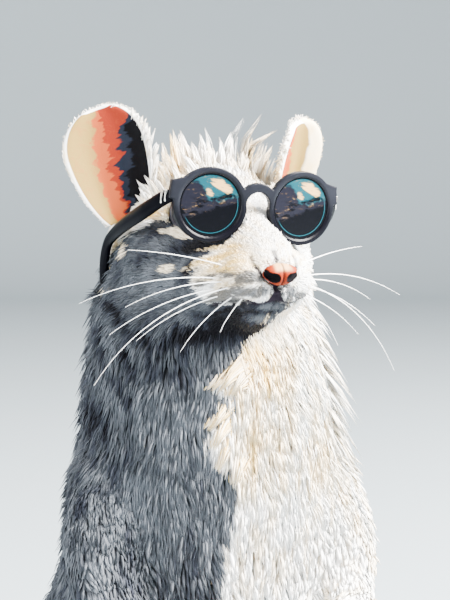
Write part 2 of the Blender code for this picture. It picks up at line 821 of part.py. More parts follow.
def detail_head(head, leather, eyes):
    """Crown, lids, mouth and philtrum on the head, with seats for the nose leather and the eyes."""
    united(head.name, [head, lid_ring(RIGHT), lid_ring(LEFT), *crown_locks(head)])
    groove(head, PHILTRUM, PHILTRUM_RADII)
    for side in (RIGHT, LEFT):
        groove(head, [(x * side, y, z) for x, y, z in MOUTH], MOUTH_RADII)
    return cut_clear(head, leather, *eyes)


# The sunglasses


def wrapped(obj):
    """Bends a flat front back at its ends, as a face-form frame."""
    for vertex in obj.data.vertices:
        vertex.co.y += vertex.co.x**2 / (2 * FRONT_WRAP)
    return obj


def lens_frame(side):
    """The frame of one lens, with its own Z axis to the front."""
    return Matrix.Translation(mirrored(LENS_AT, side)) @ Matrix.Rotation(math.pi / 2, 4, "X")


def rim_ring(side):
    """One rim: a ring with a softened front, turned round the lens's centre."""
    inner, outer, half = LENS_RADIUS, LENS_RADIUS + RIM_WIDTH, FRONT_DEPTH / 2
    section = (
        (inner, half - RIM_SOFT),
        (inner + RIM_SOFT, half),
        (outer - RIM_SOFT, half),
        (outer, half - RIM_SOFT),
        (outer, -half),
        (inner, -half),
    )
    return turned("rim", section, LENS_SIDES, lens_frame(side))


def lens_stack(name, side, profile):
    """A round body along a lens's axis, from rows of radius and height."""
    frame = lens_frame(side)
    rings = []
    for radius, height in profile:
        centre, across, upward = Vector((0, 0, height)), X_AXIS * radius, Y_AXIS * radius
        rings.append([frame @ point for point in ring_points(centre, across, upward, LENS_SIDES)])
    return skin(name, rings)


def bridge():
    """The keyhole bridge, an arch between the rims."""
    reach = (LENS_AT.x - LENS_RADIUS * 0.62) / MM
    y, z, rise = LENS_AT.y / MM, LENS_AT.z / MM, BRIDGE_RISE / MM
    half = BRIDGE_RADIUS / MM
    rows = [
        (-reach, y, z + rise * 1.2, half, half * 1.1),
        (-reach * 0.55, y, z + rise * 0.92, half * 0.95, half),
        (0, y, z + rise, half * 0.95, half),
        (reach * 0.55, y, z + rise * 0.92, half * 0.95, half),
        (reach, y, z + rise * 1.2, half, half * 1.1),
    ]
    return tube("bridge", rows, sides=8, steps=2, hint=Y_AXIS, rounding=(50,), power=0.7)


def endpiece(side):
    """The corner that carries the temple."""
    y, z = LENS_AT.y / MM, (LENS_AT.z + ENDPIECE_UP) / MM
    inner, outer = (LENS_AT.x + LENS_RADIUS + 0.3 * MM) / MM, (LENS_AT.x + ENDPIECE_OUT) / MM
    rows = [
        ((inner - 1.0) * side, y, z + 0.2, 0.72, 1.5),
        (inner * side, y, z + 0.3, 0.75, 1.6),
        (outer * side, y, z + 0.4, 0.75, 1.4),
    ]
    return tube("endpiece", rows, sides=8, steps=1, hint=Y_AXIS, rounding=(), power=0.5)


def glasses_front():
    pieces = [rim_ring(RIGHT), rim_ring(LEFT), bridge(), endpiece(RIGHT), endpiece(LEFT)]
    front = united("glasses_front", pieces)
    for side in (RIGHT, LEFT):
        through = ((LENS_RADIUS, FRONT_DEPTH * 2), (LENS_RADIUS, -FRONT_DEPTH * 2))
        opening = lens_stack("opening", side, through)
        boolean(front, opening, "DIFFERENCE")
        discard(opening)
    return moved(wrapped(keep_largest(front)), HEAD)


def lens(side):
    """A lens with a slightly domed face, seated in its rim."""
    radius, half = LENS_RADIUS - GAP, LENS_DEPTH / 2
    profile = (
        (radius * 0.35, half * 1.9),
        (radius * 0.7, half * 1.6),
        (radius, half),
        (radius, -half),
        (radius * 0.6, -half * 0.7),
    )
    return moved(wrapped(lens_stack("glasses_lens_" + SIDE_NAMES[side], side, profile)), HEAD)


def temple(side):
    """An arm from the end piece back under the ear, with its tip bent down."""
    name = "glasses_temple_" + SIDE_NAMES[side]
    rows = mirrored_rows(TEMPLE, side)
    return moved(tube(name, rows, sides=8, steps=2, rounding=(45, 75), power=0.55), HEAD)


def dress(obj, material_name):
    obj.data.materials.clear()
    obj.data.materials.append(material(material_name))
    obj.data.shade_smooth()
    obj.data.set_sharp_from_angle(angle=math.radians(40))


def main():
    clear_scene()
    body = flesh()
    head = part_head(body)
    neck, torso = part_trunk(body)
    dressed = {}
    for side in (RIGHT, LEFT):
        end = SIDE_NAMES[side]
        arm = part_limb(torso, [ARM], side, "upper_arm_" + end)
        forearm = copy_of(arm, "forearm_" + end)
        elbow, elbow_along = mirrored(ELBOW, side), mirrored(ELBOW_ALONG, side)
        wrist, wrist_along = mirrored(WRIST, side), mirrored(WRIST_ALONG, side)
        sliced(arm, elbow - elbow_along * (GAP / 2), -elbow_along)
        sliced(forearm, elbow + elbow_along * (GAP / 2), elbow_along)
        sliced(forearm, wrist - wrist_along * (GAP / 2), -wrist_along)
        thigh = part_limb(torso, [THIGH, SHANK], side, "hind_leg_" + end)
        paw, foot = forepaw(side), hind_foot(side)
        cut_clear(thigh, foot)
        cut_clear(torso, foot)
        coat = "coat_grey" if side == RIGHT else "coat_white"
        dressed.update({arm: coat, forearm: "coat_white", thigh: coat})
        dressed.update({paw: "bare_skin", foot: "bare_skin"})

    eyes = [eye(side) for side in (RIGHT, LEFT)]
    leather = nose()
    glasses = [glasses_front(), temple(RIGHT), temple(LEFT)]
    lenses = [lens(side) for side in (RIGHT, LEFT)]
    cut_clear(glasses[1], glasses[0])
    cut_clear(glasses[2], glasses[0])
    detail_head(head, leather, eyes)
    cut_clear(head, *glasses)
    cut_clear(neck, *glasses[1:])
    ears = [cut_clear(ear(side), head) for side in (RIGHT, LEFT)]
    tail = tail_pieces(torso)

    dressed.update({head: "coat_white", neck: "coat_white", torso: "coat_white", leather: "nose_leather"})
    dressed.update({piece: "bare_skin" for piece in [*ears, *tail]})
    dressed.update({piece: "eye_dark" for piece in eyes})
    dressed.update({piece: "frame_plastic" for piece in glasses})
    dressed.update({piece: "lens_glass" for piece in lenses})
    for obj, material_name in dressed.items():
        dress(obj, material_name)


main()
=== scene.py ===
"""The looks of a life-size white rat with a grey side that sits up and wears round sunglasses.

Every length is in metres and MM is a millimetre. The head's own parts are placed in the head's frame, which
has its origin between the eyes and its nose at -Y. Colours are given as they look on a screen, 0 to 255.
"""

import itertools
import json
from math import cos, pi, radians, sin, sqrt

import bmesh
import bpy
import numpy as np
from bpy.props import FloatProperty, FloatVectorProperty, IntProperty, PointerProperty
from mathutils import Matrix, Vector, kdtree
from mathutils.bvhtree import BVHTree

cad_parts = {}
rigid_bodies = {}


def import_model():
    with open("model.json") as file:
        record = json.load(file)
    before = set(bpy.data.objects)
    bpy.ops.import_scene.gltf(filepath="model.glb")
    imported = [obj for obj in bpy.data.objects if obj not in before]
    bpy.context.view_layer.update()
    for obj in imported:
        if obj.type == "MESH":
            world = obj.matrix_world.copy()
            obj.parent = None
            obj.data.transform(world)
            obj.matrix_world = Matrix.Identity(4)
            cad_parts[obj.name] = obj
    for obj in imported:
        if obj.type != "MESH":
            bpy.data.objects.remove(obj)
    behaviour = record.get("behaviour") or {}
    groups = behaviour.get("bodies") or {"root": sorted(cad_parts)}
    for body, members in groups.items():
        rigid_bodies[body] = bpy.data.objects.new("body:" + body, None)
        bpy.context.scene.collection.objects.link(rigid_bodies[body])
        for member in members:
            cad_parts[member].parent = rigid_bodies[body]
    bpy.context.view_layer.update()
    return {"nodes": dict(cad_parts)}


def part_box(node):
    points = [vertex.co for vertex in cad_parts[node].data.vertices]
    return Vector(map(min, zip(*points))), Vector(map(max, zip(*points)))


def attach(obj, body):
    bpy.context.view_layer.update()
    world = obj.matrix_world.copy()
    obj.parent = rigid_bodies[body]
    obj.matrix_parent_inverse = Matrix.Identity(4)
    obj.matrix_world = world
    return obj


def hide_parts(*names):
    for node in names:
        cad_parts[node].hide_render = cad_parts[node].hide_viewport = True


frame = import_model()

bl_info = {
    "name": "Sitting rat with sunglasses",
    "version": (1, 0, 0),
    "blender": (4, 5, 0),
    "location": "View3D > Sidebar > Rat",
    "description": "Skin, coat, whiskers, paws, tail and sunglasses of a sitting rat",
    "category": "Object",
}

MM = 0.001
RIGHT, LEFT = SIDES = (-1, 1)
SIDE_NAMES = {RIGHT: "right", LEFT: "left"}
BODY = "root"
Y_AXIS, Z_AXIS = Vector((0, 1, 0)), Vector((0, 0, 1))
HEAD = Matrix.Translation(Vector((0, -22, 137)) * MM) @ Matrix.Rotation(radians(5), 4, "X")
HEAD_TURN = np.array(HEAD)[:3, :3]

LIMBS = ("upper_arm", "forearm", "hind_leg")
FLESH = ("head", "neck", "torso", *(f"{limb}_{side}" for limb in LIMBS for side in ("left", "right")))
SKIN_VOXEL = 0.72 * MM
JOINING = 0.25 * MM
COAT_DEPTH_BODY, COAT_DEPTH_FACE = 1.3 * MM, 0.45 * MM

# The top of the skull under the crown's tuft, in the head's frame and mm
CROWN_MIDDLE, CROWN_RISE, CROWN_HALF = -1.4, 13.6, 14.5
CROWN_FRONT, CROWN_BACK = -1.5, 36.0
CROWN_FALL_FRONT, CROWN_FALL_BACK = 0.016, 0.046

# Lines of the face in the head's frame and mm: mouth on the right side, groove under the nose
MOUTH = (
    (0.1, -21.9, -7.7), (1.8, -21.0, -8.4), (4.0, -20.9, -8.6), (5.3, -18.5, -9.1), (6.1, -14.8, -9.8),
    (7.4, -13.2, -10.2),
)
PHILTRUM = ((0, -21.4, -5.7), (0, -22.2, -6.5), (0, -22.2, -7.0), (0, -21.9, -7.8))
# The fold round a nostril's wing and the line down the middle of the snout
WING = (
    (3.9, -19.6, -1.2), (3.9, -20.5, -1.8), (3.7, -21.4, -2.6), (3.0, -21.8, -3.7), (2.2, -21.5, -4.6),
    (0.0, -21.3, -5.7),
)
SNOUT_LINE = ((0, -20.2, -0.3), (0, -20.9, -0.9), (0, -21.6, -1.8))
# How deep the mouth, the groove and the folds are carved, and how wide each is coloured with painted shade,
# in mm
LINE_DEPTHS, LINE_WIDTHS = (0.85, 0.7, 0.35), (0.45, 0.36, 0.25)
# How wide each line's painted shade spreads on the skin and on the coat
LINE_SHADE_SKIN, LINE_SHADE_COAT = (0.8, 0.75, 0.4), (0.8, 0.9, 0.4)
# Where the skin is finer, for those lines: in front of this y, between these z, in the head's frame and mm
FINE_FRONT, FINE_TOP, FINE_FOOT = -10.5, -1.0, -16.0

EYE_FACING = Vector((0.84, -0.44, 0.3)).normalized()
# How far the eyes lie inwards and forwards of their solids
EYE_SUNK, EYE_FORWARD = 1.1 * MM, 1.1 * MM
LID_FORWARD, LID_RADIUS = 1.25 * MM, 0.5 * MM

NOSE_VOXEL = 0.13 * MM
# A nostril's line in the head's frame and mm: x, y, z, radius
NOSTRIL = (
    (1.4, -26.6, -4.5, 0.72), (1.5, -25.0, -4.35, 0.92), (2.3, -24.3, -3.9, 0.7), (3.2, -23.8, -3.2, 0.48),
)

# The ear's cup, in the head's frame
EAR_AT = Vector((13.6, 12.6, 1.6)) * MM
EAR_LENGTH, EAR_HALF_WIDTH, EAR_THICKNESS = 20.5 * MM, 8.6 * MM, 0.7 * MM
EAR_WIDEST, EAR_ROWS_BELOW, EAR_TOP = 0.63, 0.5, radians(86)
EAR_LEAN = 2.2 * MM
EAR_UP = Vector((0.22, 0.16, 1)).normalized()
EAR_FACING = Vector((0.5, -0.86, 0.05))
# How far each ear is cocked outwards and forwards and turned outwards, in degrees
EAR_COCKED = {RIGHT: (7, 0, 0), LEFT: (-6, 45, 8)}
# How far the bands of colour in each ear's cup are shifted outwards, how wide the pale border at its outside
# is and where the pale fold of its inner edge starts, as shares of its width
EAR_BANDS = {RIGHT: (0.0, 0.0, 0.97), LEFT: (-0.22, 0.24, 0.74)}
EAR_CURL_FOOT, EAR_CURL_TIP = radians(74), radians(26)
EAR_ROWS, EAR_COLUMNS = 44, 36

# Paws and feet in their own frames and mm, toes at -Y
WRIST = Vector((13.2, -43.8, 70)) * MM
PAW_DROOP, PAW_TURN = radians(58), radians(-22)
PALM = (
    ((0, -1.5, 0), (3.2, 3.4, 2.7)), ((0, -5.4, -0.2), (3.7, 4.0, 2.1)), ((0, -7.6, -0.9), (2.9, 1.9, 1.6)),
)
# The digits: x, length, degrees outwards
FINGERS = ((-2.6, 5.6, -14), (-0.9, 6.9, -5), (0.9, 6.9, 5), (2.6, 5.6, 14))
FINGER_ROOT, FINGER_RADIUS, FINGER_CURL = -7.6, 1.0, 0.55
ANKLE = Vector((28, -2.6, 0)) * MM
FOOT_TURN = radians(11)
SOLE = (
    ((0, 2.2, 2.9), (3.0, 6.4, 2.9)), ((0, -6, 2.9), (3.9, 9.0, 2.8)), ((0, -16, 2.6), (4.6, 8.5, 2.6)),
    ((0, -23.5, 2.2), (5.2, 5.5, 2.1)),
)
TOES = ((-4.3, 7.4, -17), (-2.3, 10.2, -8), (0.0, 11.0, 0), (2.3, 10.2, 8), (4.3, 7.2, 18))
TOE_ROOT, TOE_RADIUS = -25.0, 1.3
CLAW_LENGTH, CLAW_RADIUS = 2.7, 0.52
PAW_VOXEL = 0.3 * MM

# The tail, lying in a loose bend round the left side
TAIL_ROOT = Vector((0, 27, 11)) * MM
TAIL_LENGTH = 178 * MM
TAIL_ROOT_RADIUS, TAIL_TIP_RADIUS = 5.0 * MM, 0.9 * MM
TAIL_BEND = radians(168)
TAIL_BEND_AT, TAIL_BEND_OVER = 0.2, 0.8
TAIL_DROP_OVER = 32 * MM
TAIL_SEATED = 0.97
TAIL_RINGS, TAIL_SIDES = 300, 22
SCALE_RINGS = 165

# Sunglasses in the head's frame
LENS_AT = Vector((8.35, -12.2, 6.2)) * MM
LENS_RADIUS, RIM_WIDTH = 5.3 * MM, 1.08 * MM
FRONT_DEPTH, FRONT_WRAP, FRONT_VOXEL = 1.5 * MM, 75 * MM, 0.15 * MM
# The sunglasses sit a little lower on the rat's left, as in the photo
ASKEW = Matrix.Rotation(radians(2.5), 4, "Y")
PIVOT = Matrix.Translation((0, 0, LENS_AT.z))
WORN = HEAD @ Matrix.Translation((0.15 * MM, 0, 0)) @ PIVOT @ ASKEW @ PIVOT.inverted()
# Blocks at the front's corners: x and z in mm from the lens's centre, width and height, turn in degrees
CORNER_BLOCKS = ((5.4, 2.2, 3.2, 3.2, -6), (4.3, 3.5, 4.4, 2.0, 16))
# A temple's line in mm for the left side: x, y, z, radius across, radius up
TEMPLE = (
    (14.8, -10.3, 7.5, 0.7, 1.2), (15.8, -8.4, 6.5, 0.75, 1.4), (17.1, -4.0, 4.1, 0.75, 1.55),
    (17.8, 2.5, 1.3, 0.75, 1.5), (17.9, 9.0, -1.5, 0.75, 1.4), (17.9, 12.5, -3.8, 0.8, 1.3),
    (17.6, 14.6, -7.4, 0.85, 1.4), (17.2, 15.2, -11.3, 0.8, 1.3),
)
# The hinge's bars: x, y and z in mm
HINGE_BARS = ((15.75, -10.1, 7.35), (16.15, -9.3, 6.95))
HINGE_BAR_SIZE = Vector((0.5, 0.17, 2.0)) * MM

# Whiskers of one side: the root's place in the photo's plane in mm, its rise and its droop along the way in
# degrees, its length in mm
WHISKERS = (
    (-5.6, -10.2, 16, 14, 16), (-6.6, -12.2, 4, 30, 25), (-5.6, -12.8, 0, 30, 17),
    (-6.8, -13.8, -10, 28, 21), (-4.6, -13.6, -14, 46, 29), (-6.4, -15.0, -16, 26, 17),
    (-4.2, -15.0, -34, 26, 13), (-2.6, -15.2, -46, 20, 7),
)
WHISKER_OUT = Vector((0.93, 0.37, 0)).normalized()
WHISKER_ROOT, WHISKER_TIP = 0.115, 0.02

# How the camera looks: the rat is seen from its right front
AZIMUTH, ELEVATION = -22.0, 4.5
# In millimetres to the right of and above the point between the lenses
AIM = (-5.25, -15.8)
LENS_LENGTH, SENSOR = 100.0, 36.0
# The photo's height in pixels and its scale in pixels to the millimetre
PHOTO_HEIGHT, PHOTO_SCALE = 600, 5.9

# The floor's radius, the radius of its rise into the wall and the wall's height above that, in metres
FLOOR_RADIUS, WALL_CURVE, WALL_RISE = 1.6, 0.5, 0.3
# The point that the lights face, and each light's degrees round the rat and up, distance, size and tint
LIT_POINT = Vector((0, -10, 110)) * MM
LIGHTS = {
    "key": (48, 42, 0.9, 0.5, (1, 0.985, 0.95)),
    "fill": (-70, 18, 0.9, 0.7, (1, 1, 1)),
    "top": (180, 86, 2.2, 2.4, (1, 1, 1)),
}


def srgb(*values):
    """Screen colours from 0 to 255 as linear ones."""
    out = []
    for value in values:
        share = value / 255
        out.append(share / 12.92 if share <= 0.04045 else ((share + 0.055) / 1.055) ** 2.4)
    return tuple(out)


def hue(name, description, *screen):
    return FloatVectorProperty(name=name, description=description, default=srgb(*screen), subtype="COLOR")


def length_property(name, description, default):
    settings = {"unit": "LENGTH", "precision": 4}
    return FloatProperty(name=name, description=description, default=default * MM, **settings)


def power_property(name, description, default):
    return FloatProperty(name=name, description=description, default=default, unit="POWER")


class RatCoatSettings(bpy.types.PropertyGroup):
    white: hue("White", "The coat's lightest hairs", 254, 253, 251)
    cream: hue("Cream", "The shading of the white coat", 238, 200, 120)
    grey: hue("Grey", "The right side's middle tone", 67, 70, 75)
    slate: hue("Slate", "The right side's dark tone", 43, 46, 55)
    # Navy is painted shade: under the chin and jaw, along the face's lines and in the darkest strokes of the
    # grey side.
    navy: hue("Navy", "The darkest streaks at the throat and jaw", 7, 6, 12)
    fullness: FloatProperty(
        name="Fullness", description="Share of the full count of tufts", default=1.0, min=0.1, max=1.0
    )
    body_length: length_property("Body hair", "Length of the tufts on the back and chest", 4.4)
    face_length: length_property("Face hair", "Length of the tufts on the muzzle", 1.0)
    crown_length: length_property("Crown hair", "Length of the locks between the ears", 8.3)


class RatBareSettings(bpy.types.PropertyGroup):
    skin: hue("Skin", "Bare skin of paws, feet and tail", 206, 146, 122)
    ear_tan: hue("Ear tan", "The outer band of the ear's cup", 136, 110, 57)
    ear_pink: hue("Ear pink", "The middle of the ear's cup", 157, 70, 34)
    ear_deep: hue("Ear deep pink", "The inner folds of the ear's cup", 122, 36, 20)
    # Painted shadow in the ear's cup along its inner edge; the lids' dark skin takes the same colour
    ear_shadow_and_lid_skin: hue("Ear shade", "The dark hair along the inner edge", 23, 27, 37)
    nose: hue("Nose", "The nose leather", 102, 28, 5)
    claw: hue("Claw", "The claws' horn", 206, 184, 160)


class RatGlassesSettings(bpy.types.PropertyGroup):
    # The front's plastic is the temples' near-black painted lighter, painted light on the front; below the
    # lenses' middle the front gets painted shade.
    front: hue("Front", "The front's plastic", 17, 18, 23)
    arms: hue("Temples", "The temples' plastic", 3, 3, 6)
    # The tones from here to the edge tone paint a reflection into the lens's colour: reflected sky, smoky
    # patches, pale patches of painted highlight and a painted glint along the lower edge. The night tone is
    # the lens's own dark tint.
    reflected_sky: hue("Sky tone", "The upper half of the lens's tint", 11, 54, 62)
    reflected_cloud: hue("Cloud tone", "The pale patches of the lens's tint", 176, 140, 90)
    reflected_dusk: hue("Dusk tone", "The smoky patches of the lens's tint", 14, 14, 21)
    night: hue("Night tone", "The lower half of the lens's tint", 1, 1, 3)
    edge_glint: hue("Edge tone", "The arc along the lens's lower edge", 16, 68, 78)


class RatStageSettings(bpy.types.PropertyGroup):
    floor: hue("Floor", "The floor and the wall that it runs up into", 150, 160, 166)
    key: power_property("Key light", "Power of the light on the rat's left", 190.0)
    fill: power_property("Fill light", "Power of the light on the rat's right", 25.0)
    top: power_property("Top light", "Power of the wide light above", 20.0)
    air: hue("Air", "The even light from all round", 240, 242, 245)
    air_strength: FloatProperty(name="Air strength", description="Strength of the even light", default=0.6)
    seed: IntProperty(name="Seed", description="Seed of every random draw", default=7)


# Modelling


def only(*objs):
    """Selects just these objects, with the first one active."""
    bpy.ops.object.select_all(action="DESELECT")
    for obj in objs:
        obj.select_set(True)
    bpy.context.view_layer.objects.active = objs[0]


def applied(obj, kind, **settings):
    """Adds a modifier with these settings and applies it."""
    only(obj)
    modifier = obj.modifiers.new(kind.title(), kind)
    for key, value in settings.items():
        setattr(modifier, key, value)
    bpy.ops.object.modifier_apply(modifier=modifier.name)
    return obj


def settled(obj, matrix=None):
    """Puts the object's place, and then a further matrix, into its mesh."""
    only(obj)
    bpy.ops.object.transform_apply(location=True, rotation=True, scale=True)
    if matrix is not None:
        obj.data.transform(matrix)
    return obj


def cut(obj, tool):
    """Takes a tool's volume out of an object."""
    applied(obj, "BOOLEAN", operation="DIFFERENCE", object=tool, solver="EXACT")
    bpy.data.objects.remove(tool)


def mode(name):
    bpy.ops.object.mode_set(mode=name)


def joined(name, objs):
    only(*objs)
    if len(objs) > 1:
        bpy.ops.object.join()
    obj = bpy.context.view_layer.objects.active
    obj.name = obj.data.name = name
    return obj


def smoothed(obj, voxel, rounds):
    """Remakes an object's surface in even faces and smooths it."""
    applied(obj, "REMESH", mode="VOXEL", voxel_size=voxel)
    return applied(obj, "SMOOTH", factor=0.5, iterations=rounds)


def fused(name, forms, voxel, rounds):
    """Overlapping forms run together into one closed, smooth body."""
    return smoothed(joined(name, forms), voxel, rounds)


def ball(centre, radii, segments=32):
    """An ellipsoid from a sphere, in mm."""
    bpy.ops.mesh.primitive_uv_sphere_add(
        segments=segments, ring_count=segments // 2, radius=MM, location=Vector(centre) * MM
    )
    obj = bpy.context.object
    obj.scale = radii
    return settled(obj)


def disc(centre, radius, depth):
    """A flat cylinder whose axis is Y."""
    bpy.ops.mesh.primitive_cylinder_add(
        vertices=96, radius=radius, depth=depth, location=centre, rotation=(pi / 2, 0, 0)
    )
    return settled(bpy.context.object)


def block(centre, size, turn=0.0):
    """A box that is turned about Y."""
    bpy.ops.mesh.primitive_cube_add(size=1, location=centre, rotation=(0, turn, 0))
    obj = bpy.context.object
    obj.scale = size
    return settled(obj)


def linked(name, data):
    """A new object in the scene, from its mesh or curve."""
    obj = bpy.data.objects.new(name, data)
    bpy.context.scene.collection.objects.link(obj)
    return obj


def tube(name, points, radii, sides=8):
    """A tube along points, in mm, closed at both ends, with a radius at each point."""
    curve = bpy.data.curves.new(name, "CURVE")
    curve.dimensions = "3D"
    curve.use_fill_caps = True
    curve.bevel_resolution = (sides - 4) // 2
    curve.bevel_depth = MM
    line = curve.splines.new("POLY")
    line.points.add(len(points) - 1)
    for knot, point, radius in zip(line.points, points, radii):
        knot.co = (*(Vector(point) * MM), 1)
        knot.radius = radius
    only(linked(name, curve))
    bpy.ops.object.convert(target="MESH")
    return facing_out(bpy.context.object)


def facing_out(obj):
    """Merges an object's doubles and turns its faces outwards."""
    bm = bmesh.new()
    bm.from_mesh(obj.data)
    bmesh.ops.remove_doubles(bm, verts=bm.verts, dist=0.001 * MM)
    bmesh.ops.recalc_face_normals(bm, faces=bm.faces)
    bm.to_mesh(obj.data)
    bm.free()
    return obj


def faces_opened(obj, chosen):
    """Opens an object in edit mode with just the faces selected that are chosen."""
    only(obj)
    mode("EDIT")
    bpy.ops.mesh.select_all(action="DESELECT")
    mode("OBJECT")
    for face in obj.data.polygons:
        face.select = chosen(face)
    mode("EDIT")


def smooth_line(rows, steps):
    """Rows with smooth rows between them, on a Catmull-Rom curve."""
    rows = np.array(rows, float)
    padded = np.vstack([rows[:1], rows, rows[-1:]])
    out = []
    for k in range(len(rows) - 1):
        p, q, r, s = padded[k : k + 4]
        for t in np.arange(steps) / steps:
            bend, twist = 2 * p - 5 * q + 4 * r - s, 3 * q - p - 3 * r + s
            out.append((2 * q + (r - p) * t + bend * t * t + twist * t**3) / 2)
    return np.array([*out, rows[-1]])


def mirrored(vector, side):
    return Vector((vector[0] * side, *vector[1:]))


def between_lenses():
    return HEAD @ Vector((0, LENS_AT.y, LENS_AT.z))


def way_to(azimuth, elevation):
    """The way to a place so many degrees round the rat, from its front to its left, and up."""
    a, e = radians(azimuth), radians(elevation)
    return Vector((sin(a) * cos(e), -cos(a) * cos(e), sin(e)))


def camera_axes():
    """The ways from the rat to the camera, to the right of the photo and up it."""
    back, a = way_to(AZIMUTH, ELEVATION), radians(AZIMUTH)
    right = Vector((cos(a), sin(a), 0))
    return back, right, back.cross(right)


def finished(obj, slot, material, *nodes):
    """Rides the body, takes its material, and stands for these CAD nodes. Its slot is not used."""
    only(obj)
    bpy.ops.object.shade_smooth_by_angle(angle=radians(50))
    obj.data.materials.clear()
    obj.data.materials.append(material)
    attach(obj, BODY)
    if nodes:
        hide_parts(*nodes)
    return obj


# Materials


class Link:
    """A socket of a material's nodes. Arithmetic on it adds Math nodes."""

    def __init__(self, finish, socket):
        self.finish, self.socket = finish, socket

    def math(self, operation, *others):
        operands = dict(enumerate((self, *others)))
        return self.finish.node("Math", {"operation": operation}, operands)

    def __add__(self, other):
        return self.math("ADD", other)

    def __sub__(self, other):
        return self.math("SUBTRACT", other)

    def __mul__(self, other):
        return self.math("MULTIPLY", other)

    def __pow__(self, other):
        return self.math("POWER", other)

    def __rsub__(self, other):
        return self.finish.node("Math", {"operation": "SUBTRACT"}, {0: other, 1: self})

    __radd__, __rmul__ = __add__, __mul__

    def step(self, low, high):
        """0 below low, 1 above high and smooth between them."""
        settings = {"interpolation_type": "SMOOTHSTEP", "clamp": True}
        return self.finish.node("MapRange", settings, {0: self, 1: low, 2: high})


class Finish:
    """A material's nodes round its Principled shader."""

    def __init__(self, name, **constants):
        self.material = bpy.data.materials.new(name)
        self.material.use_nodes = True
        self.tree = self.material.node_tree
        self.shader = self.tree.nodes["Principled BSDF"]
        for key, value in constants.items():
            self.shader.inputs[key.replace("_", " ").title().replace("Ior", "IOR")].default_value = value

    def node(self, kind, settings=None, inputs=None, output=0):
        """Adds a shader node of this kind: its settings first, then values or links for its sockets."""
        made = self.tree.nodes.new("ShaderNode" + kind)
        for key, value in (settings or {}).items():
            setattr(made, key, value)
        for key, value in (inputs or {}).items():
            if isinstance(value, Link):
                self.tree.links.new(value.socket, made.inputs[key])
            else:
                made.inputs[key].default_value = value
        return Link(self, made.outputs[output])

    def mix(self, factor, a, b, blend="MIX"):
        """Mixes two colours."""
        a, b = (c if isinstance(c, Link) else (*c, 1) for c in (a, b))
        settings = {"data_type": "RGBA", "blend_type": blend}
        return self.node("Mix", settings, {0: factor, 6: a, 7: b}, output=2)

    def place(self):
        """Object coordinates."""
        return self.node("TexCoord", output="Object")

    def scaled(self, vector, *scale):
        """A vector with each of its axes scaled."""
        return self.node("Mapping", {}, {"Vector": vector, "Scale": scale})

    def grey(self, tone):
        """A tone as a colour."""
        return self.node("CombineXYZ", {}, {0: tone, 1: tone, 2: tone})

    def noise(self, vector, scale, detail=3.0, rough=0.55, distortion=0.0):
        values = {"Vector": vector, "Scale": scale, "Detail": detail, "Roughness": rough}
        return self.node("TexNoise", {}, {**values, "Distortion": distortion})

    def cells(self, vector, scale, feature="F1"):
        return self.node("TexVoronoi", {"feature": feature}, {"Vector": vector, "Scale": scale})

    def attribute(self, name, output="Color"):
        return self.node("Attribute", {"attribute_name": name}, output=output)

    def uv(self, name):
        """A UV map's vector and its two coordinates."""
        source = self.node("UVMap", {"uv_map": name})
        return source, *self.axes(source)[:2]

    def axes(self, vector):
        split = self.node("SeparateXYZ", {}, {0: vector})
        return [Link(self, socket) for socket in split.socket.node.outputs]

    def bump(self, height, distance, strength):
        values = {"Height": height, "Distance": distance, "Strength": strength}
        self.feed(Normal=self.node("Bump", {}, values))

    def feed(self, **sockets):
        for key, link in sockets.items():
            self.tree.links.new(link.socket, self.shader.inputs[key.replace("_", " ")])
        return self.material


def coat_material():
    """Fur: the tuft's own colour, mottled, with hairs as streaks along each tuft."""
    fur = Finish("coat", sheen_weight=0.02, sheen_roughness=0.5, specular_ior_level=0.1)
    colour = fur.attribute("coat_colour")
    hairs = fur.noise(fur.scaled(fur.uv("Strand")[0], 9, 0.9, 1), 1.0, 2.0)
    mottle = fur.noise(fur.place(), 420, 2.0)
    shade = fur.grey(0.8 + hairs * 0.26 + mottle * 0.14)
    fur.bump(hairs, 0.06 * MM, 0.7)
    return fur.feed(Base_Color=fur.mix(1.0, colour, shade, "MULTIPLY"), Roughness=0.72 + mottle * 0.25)


def skin_material():
    """Skin under the coat, with the coat's markings, bare at lids, lips and nostrils, and painted shade
    along the face's lines.
    """
    skin = Finish("skin", specular_ior_level=0.12)
    place = skin.place()
    nap = skin.noise(skin.scaled(place, 1, 1, 0.35), 2600, 3.0)
    shade = skin.grey(0.72 + nap * 0.42)
    bare = skin.attribute("bare", "Fac")
    flesh = skin.mix(skin.noise(place, 900), srgb(196, 130, 112), srgb(232, 180, 160))
    coat = skin.mix(1.0, skin.attribute("coat_colour"), shade, "MULTIPLY")
    line = skin.attribute("line", "Fac")
    # Near-black along the face's lines: painted shade in their creases
    coloured = skin.mix(line, skin.mix(bare, coat, flesh), srgb(26, 20, 28))
    skin.bump(nap, 0.12 * MM, 0.6)
    return skin.feed(Base_Color=coloured, Roughness=0.9 - bare * 0.4)


